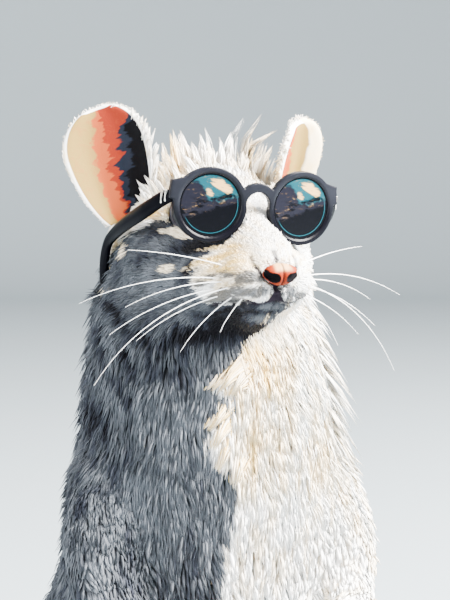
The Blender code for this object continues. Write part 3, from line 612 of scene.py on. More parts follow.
def ear_material(side, bare, coat):
    """The ear: tan outer band, pink middle, deep pink folds, painted shadow along the inner edge, pale rim
    and back.
    """
    name = "ear_" + SIDE_NAMES[side]
    ear = Finish(name, specular_ior_level=0.05, subsurface_weight=0.03, subsurface_scale=0.8 * MM)
    shift, border, fold = EAR_BANDS[side]
    source, first, up = ear.uv("Cup")
    across = first + shift
    inside = ear.attribute("inside", "Fac")
    place = ear.place()
    wave = ear.noise(ear.scaled(source, 1, 2.4, 1), 3.2, 3.5, 0.6, 0.6)
    ragged = ear.noise(ear.scaled(source, 0.5, 2.9, 1), 4.0, 3.5)
    shifted = across + (wave - 0.5) * 0.34 - (up - 0.5) * 0.22
    orange = across + (ragged - 0.5) * 0.40 + (wave - 0.5) * 0.2 - (up - 0.5) * 0.10
    inner = across + (ragged - 0.5) * 0.44 - (up - 0.5) * 0.26 - up.step(0.68, 0.95) * 0.3
    tan = ear.mix(shifted.step(0.29, 0.33), bare.ear_tan, bare.ear_pink)
    deep = ear.mix(orange.step(0.46, 0.49), tan, bare.ear_deep)
    veins = ear.noise(place, 700, 4.0, 0.6, 1.2)
    veined = ear.mix(veins.step(0.5, 0.75) * 0.25, deep, bare.ear_pink)
    # Painted shadow along the cup's inner edge, near-black at the very edge
    slate = ear.mix(inner.step(0.56, 0.59), veined, bare.ear_shadow_and_lid_skin)
    shadowed_cup = ear.mix((inner + (wave - 0.5) * 0.3).step(0.66, 0.70), slate, srgb(1, 1, 3))
    folded = (first + (ragged - 0.5) * 0.12 - up * 0.04).step(fold - 0.02, fold + 0.02)
    bordered = 1 - (first + (wave - 0.5) * 0.1).step(border - 0.03, border + 0.03)
    edge = ear.attribute("edge", "Fac").step(0.3, 0.42).math("MAXIMUM", folded).math("MAXIMUM", bordered)
    pale = ear.mix(ear.noise(place, 260).step(0.2, 0.6) * 0.6 + 0.4, coat.cream, coat.white)
    ear.bump(veins + ear.noise(place, 3000, 2.0) * 0.4, 0.1 * MM, 0.5)
    cup = ear.mix(edge, shadowed_cup, ear.mix(bordered * 0.6, pale, coat.cream))
    return ear.feed(Base_Color=ear.mix(inside, pale, cup), Roughness=0.5 + veins * 0.25)


def leather_material(bare):
    """Nose leather: fine pebbles, paler where it meets the fur, and painted shade in the nostrils and down
    its middle crease.
    """
    nose = Finish("nose_leather", specular_ior_level=0.07, subsurface_weight=0.03, subsurface_scale=0.5 * MM)
    place = nose.place()
    pebbles = nose.cells(place, 4200)
    tone = nose.noise(place, 900)
    colour = nose.mix(tone.step(0.35, 0.7), bare.nose, srgb(118, 40, 14))
    furred = nose.mix(nose.attribute("furred", "Fac") * (0.45 + tone * 0.5), colour, srgb(208, 164, 112))
    hollow = nose.attribute("hollow", "Fac")
    nose.bump(pebbles, 0.05 * MM, 0.5)
    rough = 0.4 + tone * 0.2 + hollow * 0.4
    return nose.feed(Base_Color=nose.mix(hollow, furred, srgb(3, 2, 4)), Roughness=rough)


def eye_material():
    """A dark wet eye with a faint brown iris."""
    eye = Finish("eye", coat_weight=1.0, coat_roughness=0.03)
    speckle = eye.noise(eye.place(), 1500, 3.0)
    iris = eye.mix(speckle.step(0.4, 0.8), srgb(8, 4, 6), srgb(42, 18, 14))
    return eye.feed(Base_Color=iris, Roughness=0.05 + speckle * 0.04)


def lid_material(bare):
    """The lids' rims: dark bare skin with fine creases."""
    lid = Finish("lid", specular_ior_level=0.4)
    creases = lid.noise(lid.place(), 2600, 3.0)
    lid.bump(creases, 0.05 * MM, 0.6)
    colour = lid.mix(creases, srgb(40, 30, 36), bare.ear_shadow_and_lid_skin)
    return lid.feed(Base_Color=colour, Roughness=0.35 + creases * 0.2)


def bare_material(bare):
    """Bare skin of paws and feet: creased, with paler pads and fine scales on top."""
    skin = Finish("bare_skin", subsurface_weight=0.08, subsurface_scale=1.2 * MM, specular_ior_level=0.4)
    place = skin.place()
    scales = skin.cells(place, 1500, "DISTANCE_TO_EDGE")
    blotch = skin.noise(place, 320, 3.0)
    creases = skin.noise(skin.scaled(place, 1, 3, 1), 1100, 3.0)
    base = skin.mix(blotch.step(0.35, 0.7), bare.skin, srgb(222, 172, 150))
    colour = skin.mix(scales.step(0.02, 0.09), srgb(170, 100, 84), base)
    skin.bump(scales.step(0.0, 0.12) + creases * 0.5, 0.08 * MM, 0.6)
    return skin.feed(Base_Color=colour, Roughness=0.45 + blotch * 0.25)


def tail_material(bare):
    """The tail: rings of small scales, paler between them."""
    tail = Finish("tail_skin", subsurface_weight=0.06, subsurface_scale=1.0 * MM, specular_ior_level=0.4)
    across, along = tail.uv("Length")[1:]
    row = (along * SCALE_RINGS).math("FLOOR")
    in_ring = (along * SCALE_RINGS).math("FRACT")
    turn = (across * 20 + row * 0.5).math("FRACT")
    gap = ((in_ring - 0.5).math("ABSOLUTE") * 2).step(0.62, 0.98)
    side_gap = ((turn - 0.5).math("ABSOLUTE") * 2).step(0.72, 1.0)
    seam = gap.math("MAXIMUM", side_gap)
    blotch = tail.noise(tail.place(), 210, 3.0)
    base = tail.mix(blotch.step(0.3, 0.75), bare.skin, srgb(180, 122, 104))
    tail.bump(1 - seam, 0.09 * MM, 0.7)
    return tail.feed(Base_Color=tail.mix(seam * 0.6, base, srgb(128, 76, 66)), Roughness=0.42 + blotch * 0.3)


def horn_material(bare):
    claw = Finish("claw_horn", coat_weight=0.4, coat_roughness=0.15)
    hairlines = claw.noise(claw.scaled(claw.place(), 1, 0.2, 1), 3000, 2.0)
    colour = claw.mix(hairlines, bare.claw, srgb(150, 118, 96))
    return claw.feed(Base_Color=colour, Roughness=0.25 + hairlines * 0.2)


def plastic_material(name, colour, gloss, shade_below=0.0):
    """Moulded plastic, polished, with a faint wave of lighter tone, and painted shade below a height."""
    plastic = Finish(name, coat_weight=gloss / 2, coat_roughness=0.1, specular_ior_level=gloss)
    place = plastic.place()
    wave, dust = plastic.noise(place, 160, 2.0), plastic.noise(place, 5200, 2.0)
    lighter = tuple(min(1.0, value * 1.35 + 0.001) for value in colour)
    tone = plastic.mix(wave.step(0.3, 0.7), colour, lighter)
    height = plastic.axes(place)[2] + (wave - 0.5) * 0.002
    # Painted shade: near-black below the height
    base = plastic.mix(height.step(shade_below - 3 * MM, shade_below + 3 * MM), srgb(5, 5, 9), tone)
    plastic.bump(dust, 0.01 * MM, 0.25)
    return plastic.feed(Base_Color=base, Roughness=0.24 + dust * 0.12)


def metal_material():
    metal = Finish("hinge_metal", metallic=1.0)
    brushed = metal.noise(metal.scaled(metal.place(), 1, 1, 0.1), 9000, 2.0)
    colour = metal.mix(brushed, srgb(190, 186, 178), srgb(236, 230, 220))
    return metal.feed(Base_Color=colour, Roughness=0.2 + brushed * 0.2)


def lens_material(glasses):
    """A dark lens with a painted reflection: sky tone with pale patches of painted highlight above, a smoky
    middle, the lens's own night tone below with a painted horizon, a painted glint along its lower edge and
    the night tone round its edge.
    """
    lens = Finish("lens_tint", coat_weight=0.02, coat_roughness=0.04, specular_ior_level=0.05)
    source, across, up = lens.uv("Face")
    turn = {"Vector": source, "Rotation": (0, 0, 0.5), "Scale": (1, 1.9, 1)}
    tilted = lens.node("Mapping", {}, turn)
    wisps = lens.noise(tilted, 3.4, 5.0, 0.6, 1.4)
    fine = lens.noise(tilted, 9.0, 3.0, 0.6, 0.8)
    strands = lens.noise(lens.scaled(tilted, 1, 3.2, 1), 6.0, 4.0)
    x, y = across * 2 - 1, up * 2 - 1
    rough = (wisps - 0.5) * 1.5 + (fine - 0.5) * 0.5
    brushed = rough * 0.5 + (strands - 0.5) * 1.5
    # Painted highlights: a large pale patch high up and a smaller one below it
    high = 1 - ((x - 0.30) ** 2 * 3.6 + (y - 0.76 + x * 0.42) ** 2 * 13 + brushed * 0.8).step(0.15, 0.5)
    low = 1 - ((x + 0.06) ** 2 * 20 + (y - 0.36 + x * 0.6) ** 2 * 24 + brushed * 0.8).step(0.05, 0.45)
    # A smoky patch on the left with dark blots, painted reflection
    left = ((x + 0.62) ** 2 * 1.6 + (y - 0.10) ** 2 * 1.1 + rough * 0.35).step(0.34, 0.52)
    band = (y - 0.12 - x * 0.16 + rough * 0.45).step(-0.04, 0.16)
    reflected_dusk = lens.mix(left.math("MULTIPLY", band), glasses.reflected_dusk, glasses.reflected_sky)
    blots = lens.noise(tilted, 5.5, 3.0, 0.5, 0.6)
    inky = lens.mix(blots.step(0.50, 0.62) * (1 - (y - x * 0.3).step(0.1, 0.5)), reflected_dusk, glasses.night)
    mist = lens.mix(fine.step(0.5, 0.8) * 0.3, inky, glasses.reflected_cloud)
    veil = lens.mix(wisps.step(0.46, 0.66), inky, mist)
    pale = lens.mix(high, veil, glasses.reflected_cloud)
    lit = lens.mix(low * 0.8, pale, glasses.reflected_cloud)
    # A painted horizon between the reflected sky and the dark lower half
    horizon = (y - x * 0.34 + rough * 0.1).step(-0.24, -0.10)
    faint = lens.mix(fine.step(0.56, 0.8) * 0.35, glasses.night, glasses.reflected_dusk)
    halves = lens.mix(horizon, faint, lit)
    radius = (x * x + y * y).math("SQRT")
    # A painted glint: a thin bright arc along the lower edge, then the night tone round the very edge
    arc = radius.step(0.88, 0.89) * (1 - radius.step(0.90, 0.915)) * (1 - (y - x * 0.5).step(-0.35, 0.1))
    rimmed = lens.mix(arc * 0.62, halves, glasses.edge_glint)
    edge = lens.mix(radius.step(0.93, 0.97), rimmed, glasses.night)
    return lens.feed(Base_Color=edge, Roughness=0.06 + wisps * 0.06)


def whisker_material():
    hair = Finish("whisker", specular_ior_level=0.5)
    tone = hair.noise(hair.place(), 800, 1.0)
    colour = hair.mix(tone, srgb(246, 244, 238), srgb(255, 255, 255))
    return hair.feed(Base_Color=colour, Roughness=0.3 + tone * 0.15)


def floor_material(colour):
    floor = Finish("floor", specular_ior_level=0.15)
    tone = floor.noise(floor.place(), 6, 2.0)
    darker = tuple(value * 0.97 for value in colour)
    return floor.feed(Base_Color=floor.mix(tone, colour, darker), Roughness=0.8 + tone * 0.1)


# The skin


def to_head(points):
    """World points in metres as points of the head's frame in mm."""
    back = np.array(HEAD.inverted())
    return (points @ back[:3, :3].T + back[:3, 3]) / MM


def eased(low, high, values):
    share = np.clip((values - low) / (high - low), 0, 1)
    return share * share * (3 - 2 * share)


def bell(values):
    """1 at 0, falling off to both sides."""
    return np.exp(-(values**2))


def read(domain, name, width):
    """The values of one property of a mesh's vertices or of an attribute."""
    values = np.empty(len(domain) * width, np.float32)
    domain.foreach_get(name, values)
    return values.reshape(-1, width).astype(float)


def points_of(obj):
    return read(obj.data.vertices, "co", 3)


def normals_of(obj):
    return read(obj.data.vertices, "normal", 3)


def move_to(obj, points):
    obj.data.vertices.foreach_set("co", points.astype(np.float32).ravel())
    obj.data.update()


def flat_on_floor(obj):
    """Flattens what reaches below the floor."""
    points = points_of(obj)
    points[:, 2] = np.maximum(points[:, 2], 0.0)
    move_to(obj, points)


def uv_map(mesh, name, places):
    """Adds a UV map with a place for each corner of the faces."""
    mesh.uv_layers.new(name=name).data.foreach_set("uv", np.asarray(places, np.float32).ravel())


def mapped(mesh, name, places):
    """Adds a UV map with a place for each vertex."""
    corners = np.empty(len(mesh.loops), np.int32)
    mesh.loops.foreach_get("vertex_index", corners)
    uv_map(mesh, name, places[corners])


def paint(obj, name, values):
    """Stores a number or a colour for each vertex."""
    values = np.asarray(values, np.float32)
    colour = values.ndim == 2
    layer = obj.data.attributes.new(name, "FLOAT_COLOR" if colour else "FLOAT", "POINT")
    if colour:
        values = np.hstack([values, np.ones((len(values), 1), np.float32)])
    layer.data.foreach_set("color" if colour else "value", values.ravel())


def flat_crown(obj):
    """Lowers what stands up on the crown to the skull's own surface."""
    at = to_head(points_of(obj))
    x, y, z = at.T
    dome = np.sqrt(np.clip(1 - (x / CROWN_HALF) ** 2, 0.05, 1))
    top = CROWN_MIDDLE + CROWN_RISE * dome - CROWN_FALL_FRONT * np.clip(10 - y, 0, 20) ** 2
    top -= CROWN_FALL_BACK * np.clip(y - 11, 0, 20) ** 2
    on_crown = (y > CROWN_FRONT) & (y < CROWN_BACK) & (np.abs(x) < 12.5) & (z > top)
    at[on_crown, 2] = top[on_crown]
    move_to(obj, (at * MM) @ HEAD_TURN.T + np.array(HEAD)[:3, 3])


def line_distance(at, line):
    """Each point's distance to a line through points, or to a tube if the line's rows end in its radius."""
    nearest = np.full(len(at), 1e9)
    for start, end in zip(line[:-1], line[1:]):
        along = end - start
        share = np.clip((at - start[:3]) @ along[:3] / (along[:3] @ along[:3]), 0, 1)[:, None]
        away = np.linalg.norm(at - start[:3] - share * along[:3], axis=1)
        nearest = np.minimum(nearest, away - (start + share * along)[:, 3:].sum(1))
    return nearest


def folded_right(at):
    """Points with the right side's laid over the left's."""
    return np.column_stack([np.abs(at[:, 0]), at[:, 1:]])


def face_lines(at):
    """Each point's distance in mm to the mouth, the groove under the nose and the folds round the nose."""
    folded = folded_right(at)
    mouth, groove, wing, middle = (
        line_distance(folded, smooth_line(line, 4)) for line in (MOUTH, PHILTRUM, WING, SNOUT_LINE)
    )
    return mouth, groove, np.minimum(wing, middle)


def crease_shade(distances, widths):
    """How dark the face's lines are painted at points, painted shade in their creases, from the distances to
    them.
    """
    return np.clip(sum(bell(away / width) for away, width in zip(distances, widths)) * 1.2, 0, 1)


def coat_depth(at):
    """How deep the skin lies under the solids: least on the muzzle and most on the body."""
    on_face = 1 - eased(-6, 12, at[:, 1] - np.minimum(0, at[:, 2] + 6) * 0.8)
    above_neck = eased(-22, -12, at[:, 2])
    return COAT_DEPTH_BODY + (COAT_DEPTH_FACE - COAT_DEPTH_BODY) * (on_face * above_neck)


def build_skin():
    """One skin from the solids' flesh, sunk under the coat's depth, with the lines of the face carved."""
    pieces = [facing_out(linked("flesh_" + name, frame["nodes"][name].data.copy())) for name in FLESH]
    for piece in pieces[:2]:
        flat_crown(piece)
    for piece in pieces:
        applied(piece, "DISPLACE", strength=JOINING, mid_level=0)
    skin = fused("skin", pieces, SKIN_VOXEL, 5)
    drop_small_shells(skin)
    points = points_of(skin)
    sunk = points - normals_of(skin) * (JOINING + coat_depth(to_head(points)))[:, None]
    sunk[:, 2] = np.maximum(sunk[:, 2], 0.0)
    move_to(skin, sunk)
    refine_muzzle(skin)
    carve_face(skin)
    return skin


def drop_small_shells(obj):
    """Keeps only the largest closed surface."""
    only(obj)
    mode("EDIT")
    bpy.ops.mesh.select_all(action="SELECT")
    bpy.ops.mesh.separate(type="LOOSE")
    mode("OBJECT")
    parts = sorted(bpy.context.selected_objects, key=lambda part: len(part.data.vertices))
    for part in parts[:-1]:
        if part is not obj:
            bpy.data.objects.remove(part)


def refine_muzzle(skin):
    """Splits the faces round mouth and nose, so that their lines are fine."""
    at = to_head(points_of(skin))
    near = (at[:, 1] < FINE_FRONT) & (at[:, 2] < FINE_TOP) & (at[:, 2] > FINE_FOOT)
    faces_opened(skin, lambda face: all(near[index] for index in face.vertices))
    bpy.ops.mesh.subdivide(number_cuts=1, smoothness=0.6)
    mode("OBJECT")


def carve_face(skin):
    """Sinks the mouth line and the groove under the nose, notes where the skin is bare, and notes where the
    face's lines are painted dark as painted shade.
    """
    points = points_of(skin)
    lines, carved = face_lines(to_head(points)), np.zeros(len(points))
    for away, depth, width in zip(lines, LINE_DEPTHS, LINE_WIDTHS):
        carved = np.maximum(carved, depth * np.exp(-((away / width) ** 2) / 2))
    move_to(skin, points - normals_of(skin) * (carved * MM)[:, None])
    eye = np.array(eye_place(LEFT)[0])
    beside = np.linalg.norm(folded_right(points) - eye, axis=1) / MM
    paint(skin, "bare", 1 - eased(2.6, 3.0, beside))
    paint(skin, "line", crease_shade(lines, LINE_SHADE_SKIN))


def eye_place(side):
    """An eye's centre and radius, from its solid."""
    low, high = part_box("eye_" + SIDE_NAMES[side])
    moved = HEAD.to_3x3() @ (mirrored(EYE_FACING, side) * EYE_SUNK + Y_AXIS * EYE_FORWARD)
    return (low + high) / 2 - moved, (high.x - low.x) / 2


def build_eye(side, material):
    centre, radius = eye_place(side)
    eye = ball(centre / MM, (radius / MM,) * 3, 40)
    eye.name = "eyeball_" + SIDE_NAMES[side]
    return finished(eye, "eye_dark", material, "eye_" + SIDE_NAMES[side])


def build_lids(side, material):
    """The rims of the lids: a fine ring round the eye, drawn out to a corner in front and behind."""
    centre, radius = eye_place(side)
    turn = (HEAD.to_3x3() @ mirrored(EYE_FACING, side)).to_track_quat("Z", "Y")
    ring = sqrt(radius**2 - LID_FORWARD**2) + 0.12 * MM
    sizes = {"major_radius": ring, "minor_radius": LID_RADIUS, "location": (0, 0, LID_FORWARD)}
    bpy.ops.mesh.primitive_torus_add(major_segments=72, minor_segments=14, **sizes)
    lids = settled(bpy.context.object, Matrix.Translation(centre) @ turn.to_matrix().to_4x4())
    lids.name = "lids_" + SIDE_NAMES[side]
    return finished(lids, "bare_skin", material)


def nose_place():
    """The middle of the nose's solid in the head's frame and half its size, in mm."""
    low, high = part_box("nose")
    return to_head(np.array([(low + high) / 2]))[0], (high - low) / 2 / MM


def build_nose(material):
    """The nose leather: a broad pad, narrow at its foot, with a comma of a nostril on each side."""
    middle, size = nose_place()
    pad = [ball(middle + (0, 0, 0.25), (size.x * 0.98, 1.75, size.z * 0.82), 40)]
    pad += [ball(middle + (side * 1.35, -0.15, 0.3), (1.75, 1.6, 1.6), 32) for side in SIDES]
    leather = fused("nose_pad", pad, NOSE_VOXEL, 6)
    points = points_of(leather) / MM
    below = np.clip((middle[2] - points[:, 2]) / size.z, 0, 1)
    points[:, 0] *= 1 - 0.42 * below
    crease = bell(points[:, 0] / 0.28) * eased(-1.5, 0.5, middle[2] - points[:, 2] + 0.4)
    points[:, 1] += 0.32 * crease
    move_to(leather, points * MM)
    line = smooth_line(NOSTRIL, 4)
    for side in SIDES:
        nostril = tube("nostril", line[:, :3] * (side, 1, 1), line[:, 3], 12)
        cut(leather, nostril)
    smoothed(leather, NOSE_VOXEL, 3)
    at = folded_right(points_of(leather) / MM)
    hollow = 1 - eased(0.02, 0.2, line_distance(at, line))
    # Painted shade: near-black in the nostrils and along the crease down the middle
    paint(leather, "hollow", np.maximum(hollow, 0.85 * bell(at[:, 0] / 0.16)))
    above = eased(0.7, 1.5, at[:, 2] - middle[2])
    paint(leather, "furred", (1 - eased(0.9, 1.9, at[:, 0])) * above)
    leather.data.transform(HEAD)
    return finished(leather, "nose_leather", material, "nose")


def ear_outline(share):
    """The height of a row of the ear, as a share of its length, and the ear's half width there."""
    if share < EAR_ROWS_BELOW:
        height = EAR_WIDEST * share / EAR_ROWS_BELOW
        return height, EAR_HALF_WIDTH * sqrt(1 - ((EAR_WIDEST - height) / (EAR_WIDEST * 1.25)) ** 2)
    angle = (share - EAR_ROWS_BELOW) / (1 - EAR_ROWS_BELOW) * EAR_TOP
    return EAR_WIDEST + (1 - EAR_WIDEST) * sin(angle), EAR_HALF_WIDTH * cos(angle) ** 0.9


def ear_axes(side):
    """How an ear is cocked, the way its cup faces before that and the way to its outer edge."""
    outwards, forwards, turned = (radians(degrees) for degrees in EAR_COCKED[side])
    cocked = Matrix.Rotation(forwards, 3, "X") @ Matrix.Rotation(outwards, 3, "Y")
    cocked @= Matrix.Rotation(turned, 3, "Z")
    facing = (EAR_FACING - EAR_UP * EAR_FACING.dot(EAR_UP)).normalized()
    return cocked, facing, EAR_UP.cross(facing)


def ear_point(side, across, share):
    """A point of the cup: across is -1 inside and 1 outside, the share is 0 at the foot and 1 at the tip."""
    cocked, facing, wide = ear_axes(side)
    height, half = ear_outline(share)
    curl = EAR_CURL_FOOT + (EAR_CURL_TIP - EAR_CURL_FOOT) * height**0.6
    radius = half / curl
    angle = curl * across
    rolled = 0.9 * MM * (abs(across) ** 10 + share**16)
    fold = 0.35 * MM * sin(9 * across + 3 * height) * (1 - height) * (1 - across * across)
    middle = EAR_UP * (EAR_LENGTH * height) - facing * (EAR_LEAN * height * height)
    bend = wide * (radius * sin(angle)) + facing * (radius * (1 - cos(angle)) - rolled + fold)
    return HEAD @ mirrored(EAR_AT + cocked @ (middle + bend), side)


def build_ear(side, material):
    """A thin cup from a grid, with a rolled rim and folds at its foot, thickened and smoothed."""
    bpy.ops.mesh.primitive_grid_add(x_subdivisions=EAR_COLUMNS, y_subdivisions=EAR_ROWS, size=2)
    cup = bpy.context.object
    cup.name = cup.data.name = "ear_cup_" + SIDE_NAMES[side]
    shares = points_of(cup)
    placed, across_up = [], []
    for across, row in shares[:, :2]:
        share = (row + 1) / 2
        placed.append(ear_point(side, across, share))
        across_up.append((0.5 - across / 2, ear_outline(share)[0]))
    move_to(cup, np.array(placed))
    rim = np.maximum(np.abs(shares[:, 0]) ** 9, eased(0.86, 0.99, (shares[:, 1] + 1) / 2))
    paint(cup, "edge", rim)
    paint(cup, "inside", np.ones(len(shares)))
    mapped(cup.data, "Cup", np.array(across_up))
    cocked, facing = ear_axes(side)[:2]
    thicken_ear(cup, HEAD.to_3x3() @ mirrored(cocked @ facing, side))
    return finished(cup, "bare_skin", material, "ear_" + SIDE_NAMES[side])


def thicken_ear(cup, facing):
    """Gives the cup its thickness and marks its back."""
    applied(cup, "SOLIDIFY", thickness=EAR_THICKNESS, offset=0, use_even_offset=True)
    facing_out(cup)
    marks = normals_of(cup) @ np.array(facing) > -0.2
    cup.data.attributes["inside"].data.foreach_set("value", marks.astype(np.float32))
    applied(cup, "SUBSURF", levels=1, render_levels=1)


# Paws, feet, claws and tail

# A toe's knuckles: how far along it, how thick and how high, as shares of its length and radius
KNUCKLES = ((-0.2, 0.95, 0), (0.2, 1.02, 0.5), (0.45, 0.82, 0.45), (0.62, 0.92, 0.3), (0.95, 0.84, -0.1))


def digit_line(root, radius, curl, length, spread):
    """A toe's centre line and its radii, in its paw's frame and mm, with low knuckles."""
    rows = []
    turn = Matrix.Rotation(radians(spread), 3, "Z")
    for share, thick, rise in KNUCKLES:
        drop = curl * length * share * share
        point = root + turn @ Vector((0, -length * share, rise * radius * 0.6 - drop))
        rows.append((*point, radius * thick))
    return np.array(rows)


def claw_line(rows):
    """A claw's centre line and radii from its toe's last two rows: hooked down to a fine tip."""
    tip, slope = rows[-1][:3], rows[-1][:3] - rows[-2][:3]
    slope /= np.linalg.norm(slope)
    line = []
    for share in np.linspace(-0.35, 1.05, 9):
        hook = np.array((0, 0, CLAW_LENGTH * 0.3 * max(0, share) ** 2))
        radius = CLAW_RADIUS * (1 - max(0, share) ** 1.6 * 0.88)
        line.append((*(tip + slope * CLAW_LENGTH * share - hook), radius))
    return np.array(line)


def build_paw(name, node, forms, digits, matrix, materials):
    """A paw's flesh in one piece and its claws in another."""
    flesh = [ball(centre, radii, 24) for centre, radii in forms]
    claws = []
    for rows in digits:
        line = smooth_line(rows, 4)
        flesh.append(tube("toe", line[:, :3], line[:, 3], 12))
        tip = rows[-1]
        flesh.append(ball(tip[:3] - (0, 0, tip[3] * 0.15), (tip[3] * 1.02,) * 3, 20))
        claw = claw_line(rows)
        claws.append(tube("claw", claw[:, :3], claw[:, 3], 8))
    paw, horn = fused(name, flesh, PAW_VOXEL, 5), joined(name + "_claws", claws)
    for piece in (paw, horn):
        piece.data.transform(matrix)
        flat_on_floor(piece)
    finished(paw, "bare_skin", materials["bare"], node)
    finished(horn, "claw_horn", materials["horn"])


def build_forepaw(side, materials):
    root = FINGER_ROOT, 0
    digits = [digit_line(Vector((x, *root)), FINGER_RADIUS, FINGER_CURL, *shape) for x, *shape in FINGERS]
    turn = Matrix.Rotation(PAW_TURN * side, 4, "Z") @ Matrix.Rotation(PAW_DROOP, 4, "X")
    end = SIDE_NAMES[side]
    matrix = Matrix.Translation(mirrored(WRIST, side)) @ turn
    build_paw("paw_" + end, "forepaw_" + end, PALM, digits, matrix, materials)


def build_hind_foot(side, materials):
    root = TOE_ROOT, TOE_RADIUS * 0.95
    digits = [digit_line(Vector((x, *root)), TOE_RADIUS, 0.0, *shape) for x, *shape in TOES]
    end = SIDE_NAMES[side]
    matrix = Matrix.Translation(mirrored(ANKLE, side)) @ Matrix.Rotation(FOOT_TURN * side, 4, "Z")
    build_paw("foot_" + end, "hind_foot_" + end, SOLE, digits, matrix, materials)


def tail_rows(steps):
    """The tail's centre line and radius, in mm."""
    point, rows = TAIL_ROOT.copy(), []
    for k in range(steps + 1):
        share = k / steps
        radius = TAIL_ROOT_RADIUS + (TAIL_TIP_RADIUS - TAIL_ROOT_RADIUS) * share**0.8
        bent = min(1, max(0, (share - TAIL_BEND_AT) / TAIL_BEND_OVER))
        heading = pi / 2 - TAIL_BEND * bent * bent * (3 - 2 * bent)
        fallen = min(1, share * TAIL_LENGTH / TAIL_DROP_OVER)
        seated = radius * TAIL_SEATED
        point.z = TAIL_ROOT.z + (seated - TAIL_ROOT.z) * fallen * fallen * (3 - 2 * fallen)
        rows.append((*(point / MM), radius / MM))
        point += Vector((cos(heading), sin(heading), 0)) * (TAIL_LENGTH / steps)
    return np.array(rows)


def with_tip(rows):
    """A tube's rows with rows that round off its end."""
    tip, along = rows[-1], rows[-1, :3] - rows[-2, :3]
    along /= np.linalg.norm(along)
    for degrees in (30, 55, 75, 88):
        angle = radians(degrees)
        rows = np.vstack([rows, (*(tip[:3] + along * tip[3] * sin(angle)), tip[3] * cos(angle))])
    return rows


def tail_points(rows):
    """The points of the tail's rings, which narrow a little between the rings of scales."""
    verts = []
    for k, row in enumerate(rows):
        before, after = rows[max(0, k - 1), :3], rows[min(len(rows) - 1, k + 1), :3]
        ahead = Vector(after - before).normalized()
        across = Z_AXIS.cross(ahead).normalized()
        up = ahead.cross(across)
        share = k / TAIL_RINGS
        scaled = 1 - 0.035 * (2 * abs((share * SCALE_RINGS) % 1 - 0.5)) ** 4
        for j in range(TAIL_SIDES):
            angle = 2 * pi * j / TAIL_SIDES
            offset = (across * cos(angle) + up * sin(angle)) * row[3] * scaled
            verts.append((Vector(row[:3]) + offset) * MM)
    return verts


def build_tail(material):
    """One tube, ringed with scales, that ends in a rounded tip."""
    rows = with_tip(tail_rows(TAIL_RINGS))
    faces, uvs = [], []
    for k in range(len(rows) - 1):
        for j in range(TAIL_SIDES):
            after = (j + 1) % TAIL_SIDES
            base, above = k * TAIL_SIDES, (k + 1) * TAIL_SIDES
            faces.append((base + j, base + after, above + after, above + j))
            low, high = k / TAIL_RINGS, (k + 1) / TAIL_RINGS
            left, right = j / TAIL_SIDES, (j + 1) / TAIL_SIDES
            uvs += [(left, low), (right, low), (right, high), (left, high)]
    last = (len(rows) - 1) * TAIL_SIDES
    faces += [tuple(range(TAIL_SIDES))[::-1], tuple(range(last, last + TAIL_SIDES))]
    uvs += [(0.5, 0.0)] * TAIL_SIDES + [(0.5, 1.0)] * TAIL_SIDES
    mesh = bpy.data.meshes.new("tail")
    mesh.from_pydata(tail_points(rows), [], faces)
    uv_map(mesh, "Length", uvs)
    tail = linked("tail", mesh)
    flat_on_floor(tail)
    return finished(tail, "bare_skin", material, "tail_1", "tail_2", "tail_3", "tail_4")


# The sunglasses

WORN_PIECES = ("sunglasses_front", "temple_right", "temple_left", "lens_right", "lens_left")


def wrapped(obj):
    """Bends a flat front back at its ends and puts it on the head."""
    points = points_of(obj)
    points[:, 1] += points[:, 0] ** 2 / (2 * FRONT_WRAP)
    move_to(obj, points)
    obj.data.transform(WORN)
    return obj


def build_front(material):
    """Rims, keyhole bridge and flared corners in one moulded piece, with a step round each lens."""
    forms = []
    for side in SIDES:
        centre = mirrored(LENS_AT, side)
        forms.append(disc(centre, LENS_RADIUS + RIM_WIDTH, FRONT_DEPTH))
        for x, z, width, height, turn in CORNER_BLOCKS:
            size = Vector((width * MM, FRONT_DEPTH, height * MM))
            forms.append(block(centre + Vector((side * x, 0, z)) * MM, size, side * radians(turn)))
    middle = Vector((0, LENS_AT.y, LENS_AT.z))
    bridge = disc(middle + Z_AXIS * 0.5 * MM, 3.55 * MM, FRONT_DEPTH)
    cut(bridge, block(middle - Z_AXIS * 2.4 * MM, Vector((9, 9, 5)) * MM))
    forms.append(bridge)
    front = joined("sunglasses_front", forms)
    applied(front, "REMESH", mode="VOXEL", voxel_size=FRONT_VOXEL)
    cut(front, disc(middle + Z_AXIS * 0.3 * MM, 2.15 * MM, FRONT_DEPTH * 3))
    for side in SIDES:
        centre = mirrored(LENS_AT, side)
        cut(front, disc(centre, LENS_RADIUS, FRONT_DEPTH * 3))
        cut(front, disc(centre - Y_AXIS * FRONT_DEPTH * 0.75, LENS_RADIUS + 0.32 * MM, FRONT_DEPTH * 0.75))
    smoothed(front, FRONT_VOXEL, 4)
    return finished(wrapped(front), "frame_plastic", material, "glasses_front")


def build_lens(side, material):
    """A domed lens that fills its rim, with a map of its face."""
    centre = mirrored(LENS_AT, side)
    lens = disc(centre, LENS_RADIUS + 0.12 * MM, 0.7 * MM)
    faces_opened(lens, lambda face: abs(face.normal.y) > 0.9)
    for _ in range(7):
        bpy.ops.mesh.inset(thickness=0.68 * MM)
    mode("OBJECT")
    points = points_of(lens)
    out = np.hypot(points[:, 0] - centre.x, points[:, 2] - centre.z) / LENS_RADIUS
    points[:, 1] -= 0.7 * MM * (1 - np.clip(out, 0, 1) ** 2)
    move_to(lens, points)
    mapped(lens.data, "Face", (points[:, [0, 2]] - (centre.x, centre.z)) / LENS_RADIUS / 2 + 0.5)
    lens.name = "lens_" + SIDE_NAMES[side]
    return finished(wrapped(lens), "lens_glass", material, "glasses_lens_" + SIDE_NAMES[side])


